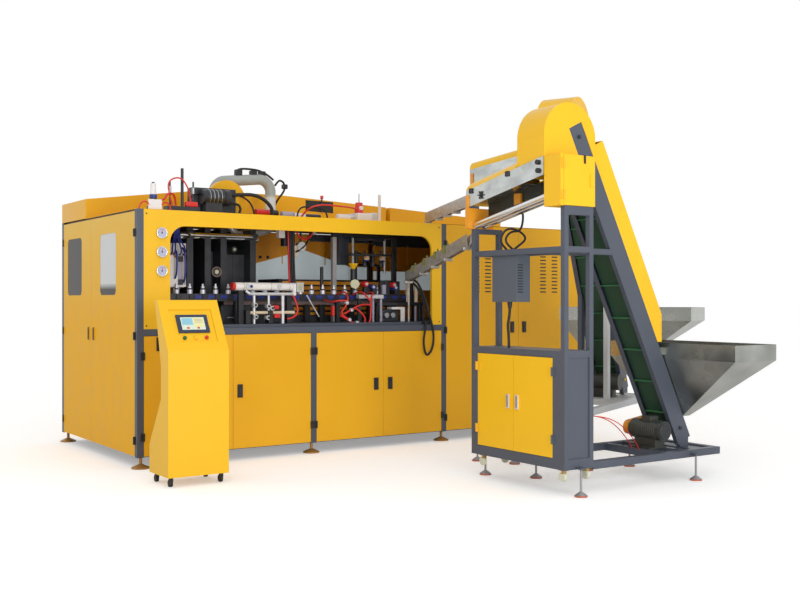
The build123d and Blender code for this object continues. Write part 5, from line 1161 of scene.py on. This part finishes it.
# %% Motor ribs and leads
MOTOR_X = 3.482
MOTOR_Z = 0.4
for step in range(10):
    ring((MOTOR_X, -2.9 + 0.022 * step, MOTOR_Z), (0, 1, 0), 0.0815, 0.004, motor_grey)
knob(MOTOR_X, MOTOR_Z, -2.9505, -2.958, 0.072, dark_metal, sides=28)
for size in (0.02, 0.04, 0.06):
    ring((MOTOR_X, -2.958, MOTOR_Z), (0, 1, 0), size, 0.002, motor_grey)
brick((MOTOR_X - 0.05, -2.84, 0.47), (MOTOR_X + 0.05, -2.74, 0.52), motor_grey, bevel=0.006)
for y in (-2.9, -2.82):
    route = (
        (3.336, y + 0.1, 0.245), (3.25, y + 0.05, 0.32), (2.98, y, 0.52), (2.7, y, 0.58),
        (2.5105, y, 0.585),
    )
    hose(f"sensor_lead_{int(-100 * y)}", route, 0.004, red)
tell()

# %% [markdown]
# All pieces of one finish on one body become one object that rides with that body.

# %% Join
for (name, body), objects in GROUPS.items():
    choose(*objects)
    if len(objects) > 1:
        bpy.ops.object.join()
    joined = bpy.context.active_object
    joined.name = f"{name}-{body}"
    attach(joined, body)
print("joined pieces", len(GROUPS))
print("hoses", HOSES)

# %% [markdown]
# The photograph has a pure white ground. The floor glows a little for the camera alone, so it melts into
# that white and still keeps the shadow of the feet.

# %% Floor
FLOOR_GLOW = 0.3
bpy.ops.mesh.primitive_plane_add(size=60, location=(2, 0, 0))
floor = bpy.context.active_object
floor.name = "floor"
pale = material("floor_white", rgb(246, 246, 246), 0.8, speckle=0.0)
Field.tree = pale.node_tree
seen = Field.node("ShaderNodeLightPath", output="Is Camera Ray")
glow = seen.blend((0, 0, 0, 1), (FLOOR_GLOW, FLOOR_GLOW, FLOOR_GLOW, 1))
shader = pale.node_tree.nodes["Principled BSDF"]
glow.into(shader.inputs["Emission Color"])
shader.inputs["Emission Strength"].default_value = 1.0
floor.data.materials.append(pale)
print("floor", tuple(floor.dimensions))

# %% [markdown]
# The world is white to the camera and in reflections and softer as light, so the ground is clean but the
# paint isn't washed out.

# %% World
SKY = 0.72
world = bpy.data.worlds.new("studio")
bpy.context.scene.world = world
world.use_nodes = True
Field.tree = world.node_tree
rays = [
    Field.node("ShaderNodeLightPath", output=name)
    for name in ("Is Camera Ray", "Is Glossy Ray", "Is Transmission Ray")
]
direct = (rays[0] + rays[1] + rays[2]).clamp()
sky = direct.blend((SKY, SKY, SKY, 1), (1, 1, 1, 1))
background = world.node_tree.nodes["Background"]
sky.into(background.inputs[0])
background.inputs[1].default_value = 1.0
print("sky as light", SKY)

# %% [markdown]
# A lamp near the camera's height sends light through the window into the bay, a high one models the roof
# and a weak one lifts the end.


# %% Lamps
def lamp(name, spot, aim, size, power):
    bpy.ops.object.light_add(type="AREA", location=spot)
    made = bpy.context.active_object
    made.name = name
    made.data.shape = "SQUARE"
    made.data.size = size
    made.data.energy = power
    made.rotation_euler = (Vector(aim) - Vector(spot)).to_track_quat("-Z", "Y").to_euler()
    print(name, "lamp", power)


lamp("key", (-4, -9, 7), (2.5, 0, 1), 5, 175)
lamp("front", (0.5, -10, 1.9), (2.2, 1.4, 1.7), 3, 255)
lamp("side", (-8, 2, 4), (0, 1, 1), 4, 40)

# %% [markdown]
# The camera stands where the fit to the photograph's edges puts it, level and at chest height. The
# Standard view keeps the white ground white.

# %% Camera
EYE = (-3.266, -8.938, 1.5)
BEARING_RIGHT = math.radians(-34.2)
bpy.ops.object.camera_add(location=EYE, rotation=(math.pi / 2, 0, BEARING_RIGHT))
camera = bpy.context.active_object
camera.name = "camera"
camera.data.lens = 47.0
camera.data.sensor_width = 36.0
bpy.context.scene.camera = camera
bpy.context.scene.view_settings.view_transform = "Standard"
print("camera", EYE, "lens", camera.data.lens)
